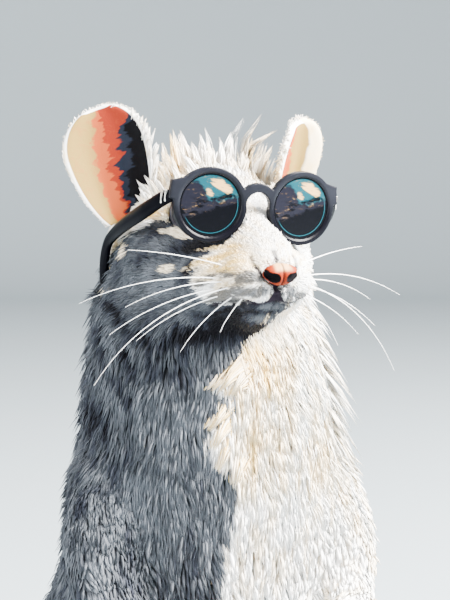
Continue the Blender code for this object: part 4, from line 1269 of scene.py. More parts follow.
def build_temple(side, plastic, metal):
    """An arm from the front's corner back under the ear, and the two bars of its hinge."""
    rows = smooth_line(TEMPLE, 6)
    arm = tube("temple_" + SIDE_NAMES[side], rows[:, :3] * (side, 1, 1), np.ones(len(rows)), 8)
    points = points_of(arm) / MM
    tree = kdtree.KDTree(len(rows))
    for index, row in enumerate(rows):
        tree.insert(Vector(row[:3]), index)
    tree.balance()
    for index, point in enumerate(points):
        folded = Vector((abs(point[0]), point[1], point[2]))
        row = rows[tree.find(folded)[1]]
        points[index, 0] = side * (row[0] + (abs(point[0]) - row[0]) * row[3])
        points[index, 1:] = row[1:3] + (point[1:] - row[1:3]) * row[4]
    move_to(arm, points * MM)
    applied(arm, "BEVEL", width=0.2 * MM, segments=3, limit_method="ANGLE")
    arm.data.transform(WORN)
    bars = []
    for x, y, z in HINGE_BARS:
        bar = block(Vector((side * x, y, z)) * MM, HINGE_BAR_SIZE)
        applied(bar, "BEVEL", width=0.05 * MM, segments=3)
        bars.append(bar)
    hinge = joined("hinge_" + SIDE_NAMES[side], bars)
    hinge.data.transform(WORN)
    finished(hinge, "frame_plastic", metal)
    return finished(arm, "frame_plastic", plastic, "glasses_temple_" + SIDE_NAMES[side])


# The coat


def lattice(points, seed):
    """Smooth random values from 0 to 1, from a lattice of one random value a unit."""
    cell = np.floor(points).astype(np.int64)
    part = points - cell
    part = part * part * (3 - 2 * part)
    total = np.zeros(len(points))
    for corner in itertools.product((0, 1), repeat=3):
        at = cell + np.array(corner)
        key = (at[:, 0] * 73856093) ^ (at[:, 1] * 19349663) ^ (at[:, 2] * 83492791) ^ (seed * 2654435761)
        key = (key ^ (key >> 13)) * 1274126177 & 0xFFFFFFFF
        value = (key ^ (key >> 16) & 0xFFFF) % 65536 / 65535
        weight = np.prod(np.where(corner, part, 1 - part), axis=1)
        total += value * weight
    return total


# The grey side's edge as the camera sees it: mm below and mm to the right of the point between the lenses
GREY_EDGE = (
    (-40, -10.0), (2.5, -10.0), (4.1, -2.8), (6.6, -6.6), (8.3, -9.2), (9.7, -9.5), (11.4, -10.2),
    (13.6, -10.8), (14.9, -10.0), (16.2, -8.6), (16.8, 5.8), (17.6, 5.2), (18.6, 3.9), (20.0, 2.4),
    (21.7, 1.0), (23.4, -2.2), (25.1, -3.1), (27.3, -3.7), (29.0, -5.1), (30.3, -8.0), (31.4, -7.1),
    (32.7, -4.4), (35.3, -4.7), (36.9, -8.1), (39.5, -9.0), (42.0, -7.8), (43.7, -6.1), (46.3, -3.1),
    (53.0, -4.4), (66.6, -7.0), (145.0, -5.0),
)
# Soft patches of the coat's tones: mm right of and above the point between the lenses, half sizes, strength.
# The dark patches are mostly painted shade, under the chin and jaw, under the right lens and by the right
# temple; the rest darken the grey on cheek, neck and shoulder.
DARK_PATCHES = (
    (-2.2, -19.8, 7.5, 3.6, 1.6), (-9.0, -21.6, 6.0, 1.9, 1.2), (-9.4, -7.0, 3.2, 1.5, 1.1),
    (-17.0, -4.5, 2.5, 1.5, 0.5), (-15.0, -28.0, 6.0, 3.6, 0.18), (-17.5, -19.0, 4.0, 3.0, 0.42),
    (-27.0, -36.5, 3.0, 3.4, 0.75),
)
LIGHT_PATCHES = (
    (-17.0, -13.6, 6.0, 3.0, 0.3), (-11.5, -36.0, 7.0, 7.0, 0.4), (-24.0, -26.0, 1.2, 3.0, 0.3),
    (-24.0, -33.0, 2.0, 4.0, 0.3), (1.9, -16.8, 1.5, 0.6, 1.6), (0.6, -18.7, 3.0, 0.9, 1.8),
    (-3.0, -22.0, 2.6, 0.6, 0.5),
)
# Dark strokes of the grey side: their half width in mm and strength, and their points in the photo's plane.
# Those along the jaw, under the right lens and by the temple are painted shadow; those on neck and shoulder
# darken the grey.
DARK_STROKES = (
    (0.85, 0.8, (-25.8, -16.1), (-23.9, -17.8), (-22.0, -20.5), (-19.2, -22.2), (-15.8, -23.7)),
    (0.85, 0.8, (-15.8, -23.7), (-11.4, -21.9)),
    (0.8, 0.75, (-27.4, -20.5), (-26.1, -26.7), (-24.2, -30.3), (-21.4, -33.3)),
    (0.7, 0.7, (-22.8, -24.5), (-20.9, -28.1), (-20.2, -29.3)),
    (0.6, 0.7, (-17.3, -25.9), (-14.3, -27.8), (-12.9, -29.3)),
    (0.9, 0.8, (-27.6, -34.4), (-25.8, -36.3), (-25.8, -39.2)),
    (0.7, 0.7, (-7.6, -7.0), (-10.3, -8.8), (-11.2, -10.4), (-11.9, -12.6), (-11.2, -14.8), (-9.6, -16.6)),
    (0.6, 0.55, (-13.8, -7.4), (-10.6, -6.2)),
    (0.6, 0.55, (-20.6, -9.0), (-16.6, -8.0)),
)
# The first five of these lie on the grey side, where they are partly pale flecks of the coat and partly
# painted highlight
CREAM_PATCHES = (
    (-14.4, -10.5, 3.8, 1.1, 0.95), (-12.4, -4.4, 3.4, 1.3, 0.95), (-15.6, -1.0, 2.2, 1.5, 1.0),
    (-23.0, -6.6, 1.7, 1.5, 1.1), (-26.0, -13.8, 0.9, 1.0, 1.0), (-4.6, -8.8, 4.6, 4.2, 0.95),
    (1.0, -28.0, 5.0, 7.0, 0.65), (-1.0, -42.0, 6.0, 6.0, 0.5), (9.5, -44.0, 4.0, 8.0, 0.5),
    (2.0, 7.0, 4.5, 2.6, 0.7), (-14.0, 6.0, 3.0, 3.0, 0.5),
)
CREAM_ON_GREY = 5
LIP_PATCHES = (
    (-0.8, -12.0, 3.2, 1.0, 1.1), (-5.4, -11.8, 2.8, 0.7, 0.9), (-1.2, -14.4, 4.0, 0.9, 1.1),
    (-5.4, -15.6, 3.6, 1.0, 1.1), (-8.6, -13.4, 1.6, 1.0, 0.8), (4.8, -14.4, 1.4, 1.8, 1.1),
    (7.2, -15.0, 1.6, 0.9, 0.9),
)
# How far the edge of the dark chin, painted shade under the jaw, rises under the middle of the mouth
CHIN_RISE, CHIN_MIDDLE, CHIN_HALF = 0.9, 1.5, 3.2
# The grey side's upper edge over the eye: its height at a y of the head, in mm, and its fall behind that
TEMPLE_LINE = (8.2, -9.2, 0.53)
# The point in front of the nose from which the head's coat lies back, in the head's frame and mm
COAT_START = (0, -29, -3)


def photo_plane(points):
    """Points as mm to the right of and above the point between the lenses, the back folded to the front."""
    away = points / MM
    away[:, 1] = -np.abs(away[:, 1])
    away -= np.array(between_lenses()) / MM
    _, right, up = camera_axes()
    return away @ np.array(right), away @ np.array(up)


def coat_tones(coat):
    """The coat's five colours as arrays."""
    return [np.array(tone[:]) for tone in (coat.white, coat.cream, coat.grey, coat.slate, coat.navy)]


def patch(across, up, patches):
    """How much of the strongest of these soft patches each point gets."""
    total = np.zeros(len(across))
    for middle, height, half_width, half_height, strength in patches:
        distance = ((across - middle) / half_width) ** 2 + ((up - height) / half_height) ** 2
        total = np.maximum(total, strength * np.exp(-distance))
    return total


def unseen_edge(points):
    """How far points lie within the grey where the photo doesn't show them: it ends at spine and belly."""
    x, y, z = (points / MM).T
    shown = eased(72, 84, z) * (1 - eased(0, 8, y - np.interp(z, (60, 90, 120), (8, -2, -12))))
    waves = lattice(points / (8 * MM), 31) * 9 + lattice(points / (3 * MM), 32) * 3
    return 40 * shown - x - 5 + waves


def grey_share(points, at, across, up, streak, tuft):
    """How grey points are: the grey side ends at the drawn edge, at spine and belly, and at the temple."""
    below = CHIN_RISE * bell((across - CHIN_MIDDLE) / CHIN_HALF) + streak * 0.4 - up
    edge = np.minimum(np.interp(below, *zip(*GREY_EDGE)) - across, unseen_edge(points) + streak * 1.5)
    line = TEMPLE_LINE[0] - TEMPLE_LINE[2] * (at[:, 1] - TEMPLE_LINE[1]) - at[:, 2] + streak * 1.2
    rounding = 0.1 + 4 * eased(0, 12, points[:, 1] / MM)
    grey = eased(-0.5, 0.5, -rounding * np.logaddexp(-edge / rounding, -line / rounding) + tuft * 0.8)
    grey *= eased(4.0, 9.0, points[:, 2] / MM)
    left_jaw = eased(2.8, 4.6, at[:, 0]) * eased(-20.5, -18, at[:, 1])
    grey *= 1 - left_jaw * eased(-16, -13.5, at[:, 2])
    return grey


def stroke_tones(across, up):
    """How much of the strongest dark stroke each point of the photo's plane gets."""
    drawn = np.column_stack([across, up, np.zeros(len(up))])
    total = np.zeros(len(up))
    for half, strength, *places in DARK_STROKES:
        away = line_distance(drawn, np.array([(*place, 0) for place in places]))
        total = np.maximum(total, strength * bell(away / half))
    return total


def white_coat(points, at, across, up, coat, streak, tuft):
    """The white coat's colours, with its cream patches in front and the dark of the lips."""
    in_front = 1 - eased(-10, 2, points[:, 1] / MM)
    cream = patch(across, up, CREAM_PATCHES) * in_front + 0.12 + 0.04 * in_front
    cream = np.clip(cream + (streak * 0.35 + tuft * 0.12) * (0.35 + 0.65 * in_front), 0, 1)
    lip = np.clip(patch(across, up, LIP_PATCHES) + streak * 0.4 + tuft * 0.15 - 0.1, 0, 1) * (at[:, 1] < -8)
    white, tan, mid = coat_tones(coat)[:3]
    fair = white + (tan - white) * cream[:, None]
    return fair + (mid * 1.1 - fair) * (eased(0.15, 0.55, lip) * 0.9)[:, None]


def grey_coat(at, across, up, coat, streak, dark):
    """The grey coat's colours, from its lightest to its darkest tone, darkest where painted shade lies, with
    cream strewn over it, partly pale flecks and partly painted highlight.
    """
    white, tan, mid, slate, navy = coat_tones(coat)
    stops = np.array((-0.25, 0.15, 0.55, 0.95))
    shade = np.stack([np.interp(dark, stops, tones) for tones in zip(mid * 1.8, mid, slate, navy)], 1)
    strewn = patch(across, up, CREAM_PATCHES[:CREAM_ON_GREY]) * (0.74 + streak * 0.8)
    strewn *= 1 - eased(17, 21, at[:, 1])
    return shade + ((white + tan) / 2 - shade) * eased(0.42, 0.6, strewn)[:, None]


def markings(points, coat, streak, tuft):
    """The coat's colour at points. The streak and tuft values, from -1 to 1, make its edges ragged."""
    at = to_head(points)
    across, up = photo_plane(points)
    strokes = stroke_tones(across, up)
    across = across + streak * 1.2
    # Dark patches and strokes, mostly painted shade, darken the grey; light patches lighten it.
    dark = np.maximum(patch(across, up, DARK_PATCHES), strokes) + 0.1 + streak * 0.42 + tuft * 0.2
    dark -= patch(across, up, LIGHT_PATCHES)
    fair = white_coat(points, at, across, up, coat, streak, tuft)
    shade = grey_coat(at, across, up, coat, streak, dark)
    coloured = fair + (shade - fair) * grey_share(points, at, across, up, streak, tuft)[:, None]
    navy = coat_tones(coat)[-1]
    # Navy along the face's lines: painted shade in their creases
    return coloured + (navy - coloured) * crease_shade(face_lines(at), LINE_SHADE_COAT)[:, None]


def head_share(at):
    """How far points of the head's frame belong to the head and not to the body."""
    return eased(-20, -9, at[:, 2] - 0.35 * np.clip(at[:, 1] - 6, 0, 30))


def streaks(points):
    """Random tones from -1 to 1 in strokes that follow the coat."""
    mm, at = points / MM, to_head(points)
    from_nose = at - COAT_START
    away = np.linalg.norm(from_nose, axis=1)[:, None]
    rays = np.hstack([from_nose / away * 18, away / 4.5])
    face = lattice(rays[:, :3] + rays[:, 3:], 21)
    body = lattice(mm / (1.0, 1.0, 4.5), 22)
    broad = lattice(mm / (5, 5, 9), 23)
    tone = face * head_share(at) + body * (1 - head_share(at))
    return np.clip((tone - 0.5) * 2.6 + (broad - 0.5) * 1.1, -1, 1)


def toward(points, line):
    """The heading of the nearest stretch of a line, and the distance to it, in mm."""
    heading, nearest = np.zeros_like(points), np.full(len(points), 1e9)
    for start, end in zip(line[:-1], line[1:]):
        along = end - start
        share = np.clip((points - start) @ along / (along @ along), 0, 1)
        distance = np.linalg.norm(points - start - share[:, None] * along, axis=1)
        closer = distance < nearest
        nearest[closer] = distance[closer]
        heading[closer] = along / np.linalg.norm(along)
    return heading, nearest


# Middle lines of the left limbs, in mm
ARM_LINE = np.array(
    ((22, -17, 87), (23.8, -20.5, 79), (22.5, -27, 71), (16.8, -37.5, 69.5), (12, -46, 69.6))
)
SHANK_LINE = np.array(((30, -22, 29), (29, -6, 11), (28.2, 0, 5)), float)


def lie(points):
    """The way the coat lies at points, before it is laid along the skin."""
    mm, at = points / MM, to_head(points)
    from_nose = unit(at - COAT_START)
    from_nose[:, 2] -= 1.1 * eased(-6, 14, at[:, 1]) * (1 - eased(0, 8, at[:, 2]))
    on_head = head_share(at)[:, None]
    down = np.column_stack([mm[:, 0] * 0.008, mm[:, 1] * 0.004, -np.ones(len(mm))])
    flow = from_nose @ HEAD_TURN.T * on_head + down * (1 - on_head)
    mirror = np.column_stack([np.where(mm[:, 0] < 0, -1, 1), np.ones((len(mm), 2))])
    for line, low, high in ((ARM_LINE, 7.5, 11.0), (SHANK_LINE, 8.0, 12.0)):
        heading, distance = toward(folded_right(mm), line)
        near = (1 - eased(low, high, distance))[:, None]
        flow = flow * (1 - near) + heading * mirror * near
    haunch = eased(18, 26, np.abs(mm[:, 0])) * (1 - eased(45, 60, mm[:, 2]))
    flow[:, 1] -= 0.55 * haunch * eased(10, 20, mm[:, 2])
    return flow


def hair_lengths(points, coat):
    """The tufts' length at points: shortest on muzzle, wrists and feet."""
    at = to_head(points)
    y, z = at[:, 1:].T
    on_head = eased(-20, -9, z)
    face = coat.face_length + (coat.body_length * 0.62 - coat.face_length) * eased(-16, 14, y)
    ruff = eased(6, 16, y) * (1 - eased(-4, 6, z)) * on_head
    crown = eased(-4, 6, y) * eased(5, 10, z) * (1 - eased(13, 20, y))
    length = coat.body_length + (face - coat.body_length) * on_head + (ruff * 1.3 + crown * 2.0) * MM
    folded = folded_right(points / MM)
    for line, start in ((ARM_LINE, 0.62), (SHANK_LINE, 0.6)):
        length *= 1 - (1 - start) * (1 - eased(7, 11, toward(folded, line)[1]))
    wrist = np.linalg.norm(folded - np.array(WRIST) / MM, axis=1)
    ankle = np.linalg.norm(folded - (28, -1, 5), axis=1)
    line = np.minimum.reduce(face_lines(at))
    length *= 0.3 + 0.7 * eased(0.2, 2.2, line)
    return length * (0.4 + 0.6 * eased(3, 12, np.minimum(wrist, ankle)))


# The coat's pieces: name, count of tufts and their width in mm
REGIONS = (
    ("muzzle_right", 16800, 0.22),
    ("muzzle_left", 15500, 0.23),
    ("cheek_right", 16000, 0.31),
    ("cheek_left", 13500, 0.33),
    ("brow", 16000, 0.28),
    ("neck_right", 14000, 0.45),
    ("neck_left", 14000, 0.45),
    ("torso_right", 8000, 0.66),
    ("torso_left", 8000, 0.66),
    ("haunch_right", 7000, 0.74),
    ("haunch_left", 7000, 0.74),
)


def region_of(points):
    """The index in REGIONS of the region that each point lies in."""
    back, up = to_head(points)[:, 1:].T
    right, z = points[:, 0] < 0, points[:, 2] / MM
    head = (z > 113) & (back < 27) & (up > -17 + 0.3 * np.clip(back, 0, 30))
    region = np.where(right, 9, 10)
    for place, first in ((z > 40, 7), (z > 84, 5), (head, 2), (head & (back < -7.5), 0)):
        region = np.where(place, np.where(right, first, first + 1), region)
    return np.where(head & (back >= -7.5) & (up > 5.5), 4, region)


def unit(vectors):
    return vectors / np.maximum(np.linalg.norm(vectors, axis=1), 1e-9)[:, None]


class Ground:
    """A mesh's triangles, from which tufts grow."""

    def __init__(self, obj):
        mesh = obj.data
        mesh.calc_loop_triangles()
        corners = np.empty(len(mesh.loop_triangles) * 3, np.int32)
        mesh.loop_triangles.foreach_get("vertices", corners)
        self.corners = corners.reshape(-1, 3)
        self.points, self.normals = points_of(obj), normals_of(obj)
        a, b, c = (self.points[self.corners[:, k]] for k in range(3))
        self.areas = np.linalg.norm(np.cross(b - a, c - a), axis=1) / 2
        self.middles = (a + b + c) / 3

    def sow(self, weights, count, draw):
        """Roots and normals of so many tufts, spread evenly over the weighted triangles."""
        heaped = np.cumsum(self.areas * weights)
        picks = (np.arange(count) + draw.random(count)) / count * heaped[-1]
        chosen = self.corners[np.searchsorted(heaped, picks).clip(0, len(heaped) - 1)]
        u, v = draw.random(count), draw.random(count)
        over = u + v > 1
        u[over], v[over] = 1 - u[over], 1 - v[over]
        shares = np.column_stack([1 - u - v, u, v])[:, :, None]
        roots = (self.points[chosen] * shares).sum(1)
        normals = (self.normals[chosen] * shares).sum(1)
        return roots, unit(normals)


def laid(flow, normals):
    """The flow laid along the surface."""
    return unit(flow - normals * (flow * normals).sum(1)[:, None])


def turned_about(vectors, axes, angles):
    """Vectors turned about axes that stand square to them."""
    return vectors * np.cos(angles)[:, None] + np.cross(axes, vectors) * np.sin(angles)[:, None]


# A tuft's triangles by its corners: three at the root, three in the middle and its tip
TUFT_CORNERS = (
    (0, 2, 1), (0, 1, 4), (0, 4, 3), (1, 2, 5), (1, 5, 4), (2, 0, 3), (2, 3, 5), (3, 4, 6), (4, 5, 6),
    (5, 3, 6),
)
TUFT_ACROSS = np.array((-0.5, 0.5, 0.0, -0.4, 0.4, 0.0, 0.0))
TUFT_ALONG = np.array((0.0, 0.0, -0.12, 0.5, 0.5, 0.55, 1.0))
# A tuft's size on the coat's unwrapped map
TUFT_PATCH = 0.003
# How steeply tufts rise, how many draw together and how far, as a share of the way
TUFT_LIFT, TUFTS_TOGETHER, TUFT_PULL = 0.36, 9, 0.42


def tuft_mesh(name, roots, middles, tips, sides, normals, widths, colours, unwrap, draw):
    """Closed tapered tufts as one mesh, each of ten triangles, with its colour and its two maps."""
    count = len(roots)
    half = sides * (widths / 2)[:, None]
    ridge = normals * (widths * 0.4)[:, None]
    foot = roots - normals * (0.12 * MM)
    low = [foot - half, foot + half, foot + ridge]
    high = [middles - half * 0.85, middles + half * 0.85, middles + ridge * 0.8]
    verts = np.stack([*low, *high, tips], 1).reshape(-1, 3)
    verts[:, 2] = np.maximum(verts[:, 2], 0.0)
    pattern = np.array(TUFT_CORNERS)
    faces = (pattern[None] + np.arange(count)[:, None, None] * 7).reshape(-1)
    mesh = bpy.data.meshes.new(name)
    mesh.vertices.add(len(verts))
    mesh.vertices.foreach_set("co", verts.astype(np.float32).ravel())
    mesh.loops.add(len(faces))
    mesh.loops.foreach_set("vertex_index", faces.astype(np.int32))
    mesh.polygons.add(len(faces) // 3)
    mesh.polygons.foreach_set("loop_start", np.arange(0, len(faces), 3, dtype=np.int32))
    mesh.update(calc_edges=True)
    mesh.polygons.foreach_set("use_smooth", np.ones(len(faces) // 3, bool))
    obj = linked(name, mesh)
    # Each tuft darker towards its root: painted shade deep in the coat
    tone = (0.8 + 0.2 * np.clip(TUFT_ALONG, 0, 1))[None, :, None] * np.ones((count, 1, 1))
    paint(obj, "coat_colour", np.clip((colours[:, None] * tone).reshape(-1, 3), 0, 1))
    local = np.column_stack([TUFT_ACROSS, TUFT_ALONG - 0.5])[pattern.ravel()]
    strand = local[None] + (0.5, 0.5) + draw.random((count, 1, 2)) * 37
    uv_map(mesh, "Strand", strand)
    bake = np.clip(unwrap, TUFT_PATCH, 1 - TUFT_PATCH)[:, None] + local[None] * TUFT_PATCH
    uv_map(mesh, "OFBake", bake)
    return obj


def planted(name, columns, free, draw, middle=None):
    """A piece of the coat from the tufts that stay free, unrolled round its middle for its map."""
    roots = columns[0]
    unwrap = unwrapped(roots, roots.mean(0) if middle is None else middle)
    obj = tuft_mesh(name, *(column[free] for column in (*columns, unwrap)), draw)
    obj.data.materials.append(bpy.data.materials["coat"])
    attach(obj, BODY)


def unwrapped(points, middle):
    """Places of points on the skin unrolled round an upright line, each way from 0 to 1."""
    low, high = points[:, 2].min(), points[:, 2].max()
    turn = np.arctan2(points[:, 0] - middle[0], -(points[:, 1] - middle[1])) / (2 * pi) + 0.5
    return np.column_stack([turn, (points[:, 2] - low) / (high - low)])


def gathered(roots, tips, middles, draw):
    """Draws the tips of neighbouring tufts together."""
    count = len(roots)
    chosen = draw.choice(count, max(1, count // TUFTS_TOGETHER), replace=False)
    tree = kdtree.KDTree(len(chosen))
    for k, index in enumerate(chosen):
        tree.insert(roots[index], k)
    tree.balance()
    leader = chosen[np.array([tree.find(root)[1] for root in roots])]
    pull = (TUFT_PULL * draw.uniform(0.6, 1.3, count))[:, None]
    drawn = tips + (tips[leader] - tips) * pull
    return middles + (drawn - tips) * 0.35, drawn, leader


def clear_of(solids, roots, middles, tips, margin):
    """Which tufts stay clear of these objects."""
    verts, faces = [], []
    for obj in solids:
        start = len(verts)
        verts += [v.co.copy() for v in obj.data.vertices]
        faces += [[start + index for index in face.vertices] for face in obj.data.polygons]
    low = np.array(verts).min(0) - 4 * MM
    high = np.array(verts).max(0) + 4 * MM
    near = ((tips > low) & (tips < high)).all(1)
    tree = BVHTree.FromPolygons(verts, faces)
    free = np.ones(len(roots), bool)
    for index in np.flatnonzero(near):
        for point in (tips[index], middles[index], (tips[index] + middles[index]) / 2):
            if tree.find_nearest(Vector(point), margin)[0] is not None:
                free[index] = False
                break
    return free


def grow(roots, normals, coat, draw):
    """Tufts at these roots, laid along the coat's lie: their middles, tips, headings and colours."""
    count = len(roots)
    lengths = hair_lengths(roots, coat) * draw.uniform(0.72, 1.2, count)
    flow = laid(lie(roots), normals)
    swirl = (lattice(roots / (5 * MM), 11) - 0.5) * 0.7 + draw.normal(0, 0.11, count)
    flow = turned_about(flow, normals, swirl)
    risen = TUFT_LIFT * draw.uniform(0.6, 1.25, count)
    loose = draw.random(count) < 0.06
    risen[loose] *= 1.7
    lengths[loose] *= 1.2
    rise = (lengths * risen)[:, None] * normals
    reach = (lengths * np.sqrt(np.clip(1 - risen**2 * 0.5, 0.2, 1)))[:, None] * flow
    middles = roots + reach * 0.5 + rise * 0.5
    tips = roots + reach + rise * 0.75
    middles, tips, leader = gathered(roots, tips, middles, draw)
    tuft = draw.uniform(-1, 1, count)[leader] * 0.6 + draw.uniform(-1, 1, count) * 0.4
    seen_at = roots + reach * 0.45
    return middles, tips, flow, markings(seen_at, coat, streaks(seen_at), tuft)


def bare_places(points):
    """Which points have no coat: nose, mouth, groove, folds, eyes and soles."""
    at = to_head(points)
    bald = np.linalg.norm((at - nose_place()[0]) / (3.0, 2.6, 2.4), axis=1) < 1
    mouth, groove, wing = face_lines(at)
    bald |= (mouth < 0.6) | (groove < 0.7) | (wing < 0.2)
    eye = np.array(eye_place(LEFT)[0])
    bald |= np.linalg.norm(folded_right(points) - eye, axis=1) < 3.0 * MM
    return bald | (points[:, 2] < 0.4 * MM)


def build_coat(skin, solids, coat, draw):
    """The short coat, in a piece for each region."""
    ground = Ground(skin)
    regions, bald = region_of(ground.middles), bare_places(ground.middles)
    for index, (name, count, width) in enumerate(REGIONS):
        weights = np.where((regions == index) & ~bald, 1.0, 0.0)
        roots, normals = ground.sow(weights, int(count * coat.fullness), draw)
        middles, tips, flow, colours = grow(roots, normals, coat, draw)
        free = clear_of(solids, roots, middles, tips, 0.12 * MM) & (middles[:, 2] > 0.3 * MM)
        tips[:, 2] = np.maximum(tips[:, 2], 0.05 * MM)
        widths = width * MM * draw.uniform(0.75, 1.25, len(roots))
        columns = (roots, middles, tips, np.cross(normals, flow), normals, widths, colours)
        planted("coat_" + name, columns, free, draw)


# The crown's rows of locks: y and half width in mm, how many, length as a share of the crown's
CROWN_ROWS = ((4.5, 9.6, 10, 0.6), (7.0, 10.0, 12, 0.8), (9.5, 10.0, 12, 1.0), (12.0, 9.6, 10, 1.0))
# The crown's long curls: x and y in mm, length as a share of the crown's, how far they bend left and up
CURLS = ((6.9, 9.2, 1.3, 0.34, -0.02), (7.6, 9.0, 1.2, 0.62, -0.16), (4.4, 9.6, 1.15, 0.28, 0.0))
# Hair along an ear's inner edge: where on the edge, how long in mm
EDGE_HAIR = ((0.05, 0.25, 0.45, 0.6, 0.75, 0.9), (5.2, 5.0, 3.8, 2.0, 0.9, 0.5))
# The longest hair in front of each ear, in mm, and how many locks there and along the ear's edge
FRINGE = {RIGHT: 6.0, LEFT: 8.4}
FRINGE_LOCKS, EDGE_LOCKS = 48, 34
# The count of the ear's hairs and of the locks that break the outline
EAR_HAIRS, OUTLINE_LOCKS = 2400, 660
# Cream locks of the chest over the grey side: root and tip as mm to the right of and above the lenses
TONGUES = (
    (-1.2, -26.4, -8.8, -30.8), (-0.6, -28.2, -5.8, -31.8), (-3.2, -33.0, -8.9, -37.2),
    (-3.6, -35.2, -8.2, -40.4), (-3.2, -38.4, -7.2, -44.0), (-1.4, -40.6, -4.6, -46.6),
)
# A tongue's locks: how far along it each starts, and how wide it spreads in mm
TONGUE_STEPS = ((0.0, 1.7), (0.2, 1.3), (0.4, 1.0), (0.58, 0.7), (0.74, 0.5))


def lock_tufts(seats, normals, along, lengths, tufts, spreads, bends, draw):
    """Locks of so many tufts, whose roots spread round the seats and whose tips bend and draw together."""
    count = len(seats)
    side = unit(np.cross(along, normals))[:, None]
    other = np.cross(normals, side[:, 0])[:, None]
    seats, normals, along = seats[:, None], normals[:, None], along[:, None]
    offsets = draw.normal(0, 0.5, (count, tufts, 2, 1)) * np.resize(spreads, count)[:, None, None, None] * MM
    roots = seats + side * offsets[:, :, 0] + other * offsets[:, :, 1]
    reach = lengths[:, None, None] * draw.uniform(0.55, 1.05, (count, tufts, 1))
    bent = np.resize(bends, (count, 1, 3)) * reach * reach / lengths[:, None, None]
    tips = seats + along * reach + bent + side * offsets[:, :, 0] * 0.16 + other * offsets[:, :, 1] * 0.12
    middles = roots * 0.45 + tips * 0.55 + along * reach * 0.08 - bent * 0.3
    spread_out = np.ones((count, tufts, 1))
    return [part.reshape(-1, 3) for part in (roots, middles, tips, side * spread_out, normals * spread_out)]


def build_locks(name, seats, shared, tufts, spread, width, pale=False, bends=(0, 0, -0.16)):
    """A piece of locks. The seats are points of the skin, its normals there, headings and lengths."""
    solids, coat, draw = shared
    points, normals, along, lengths = seats
    parts = lock_tufts(points, normals, unit(along), lengths, tufts, spread, bends, draw)
    roots, middles, tips, sides, fronts = parts
    shade = np.repeat(draw.uniform(-0.6, 0.6, len(points)), tufts)
    colours = markings(roots, coat, shade, draw.uniform(-1, 1, len(roots)) * 0.5)
    if pale:
        blend = draw.uniform(0.3, 1.0, len(roots))[:, None]
        white, cream = coat_tones(coat)[:2]
        colours = white * (1 - blend) + cream * blend
    widths = width * MM * draw.uniform(0.75, 1.25, len(roots))
    free = clear_of(solids, roots, middles, tips, 0.45 * MM)
    tips[:, 2] = np.maximum(tips[:, 2], 0.05 * MM)
    columns = (roots, middles, tips, sides, fronts, widths, colours)
    planted(name, columns, free, draw)


def seat_columns(seats):
    """Rows of ten numbers as points, normals, headings and lengths."""
    seats = np.array(seats)
    return seats[:, :3], seats[:, 3:6], seats[:, 6:9], seats[:, 9]


def on_skin(tree, rows):
    """Seats of locks from points near the skin, headings and lengths."""
    seats = []
    for point, along, length in rows:
        seat, normal = tree.find_nearest(Vector(point))[:2]
        seats.append((*seat, *normal, *(Vector(along).normalized() + normal * 0.15), length))
    return seat_columns(seats)


def tongue_rows(tree):
    """Rows of the chest's cream locks, several to a tongue, from the photo's plane."""
    back, right, up = camera_axes()
    rows = []
    for across, height, tip_across, tip_height in TONGUES:
        whole = right * (tip_across - across) + up * (tip_height - height)
        for share, width in TONGUE_STEPS:
            start = between_lenses() + (right * across + up * height + whole * share) * MM + back * 0.1
            seat, normal = tree.ray_cast(start, -back)[:2]
            along = (whole - normal * whole.dot(normal)).normalized() + normal * 0.24
            rows.append((seat, along, whole.length * (1.05 - share) * MM))
    return rows


def scattered_seats(ground, coat, draw):
    """Seats of the locks that break the coat's outline, thick down the neck's sides in the photo's view."""
    at, up = to_head(ground.middles), ground.middles[:, 2] / MM
    to_camera = np.array(camera_axes()[0])
    facing = ground.normals[ground.corners[:, 0]] @ to_camera
    edge = bell(facing / 0.22) * eased(76, 88, up) * (1 - eased(126, 134, up))
    on_body = (at[:, 2] < -16) | (at[:, 1] > 14) | ((at[:, 2] < -7) & (at[:, 1] > -5) & (at[:, 0] > 0))
    weight = np.where(on_body, 0.22 + edge * 8.0, 0.0) * eased(12, 25, up)
    seats, normals = ground.sow(weight, int(OUTLINE_LOCKS * coat.fullness), draw)
    swirl = draw.normal(0, 0.2, len(seats))
    flow = turned_about(laid(lie(seats), normals), normals, swirl)
    outline = bell((normals @ to_camera) / 0.3)
    x, _, z = (seats / MM).T
    ruff = outline * eased(4, 10, x) * eased(90, 106, z) * (1 - eased(129, 134, z))
    lengths = hair_lengths(seats, coat) * draw.uniform(0.95, 1.45, len(seats)) * (1 + 0.8 * ruff)
    return seats, normals, flow + normals * (outline * 0.42 + ruff * 0.12 + 0.14)[:, None], lengths


def crown_rows(coat, draw):
    """Rows of the crown's locks, which fan out from side to side."""
    rows = []
    for y, spread, count, size in CROWN_ROWS:
        for k in range(count):
            x = spread * (2 * k / (count - 1) - 1) + draw.uniform(-0.9, 0.9)
            at = HEAD @ (Vector((x, y + draw.uniform(-1, 1), 13.0 - 0.035 * x * x)) * MM)
            lean = x * 0.035 + draw.uniform(-0.34, 0.34)
            along = HEAD_TURN @ np.array((lean, draw.uniform(0.25, 0.7), 1.0))
            rows.append((at, along, coat.crown_length * size * draw.uniform(0.7, 1.2)))
    return rows


def curl_rows(coat):
    """Rows of the crown's long curls."""
    heading = HEAD.to_3x3() @ Vector((0.0, 0.12, 1.0))
    rows = []
    for x, y, size, *_ in CURLS:
        rows.append((HEAD @ (Vector((x, y, 12.5)) * MM), heading, coat.crown_length * size))
    return rows


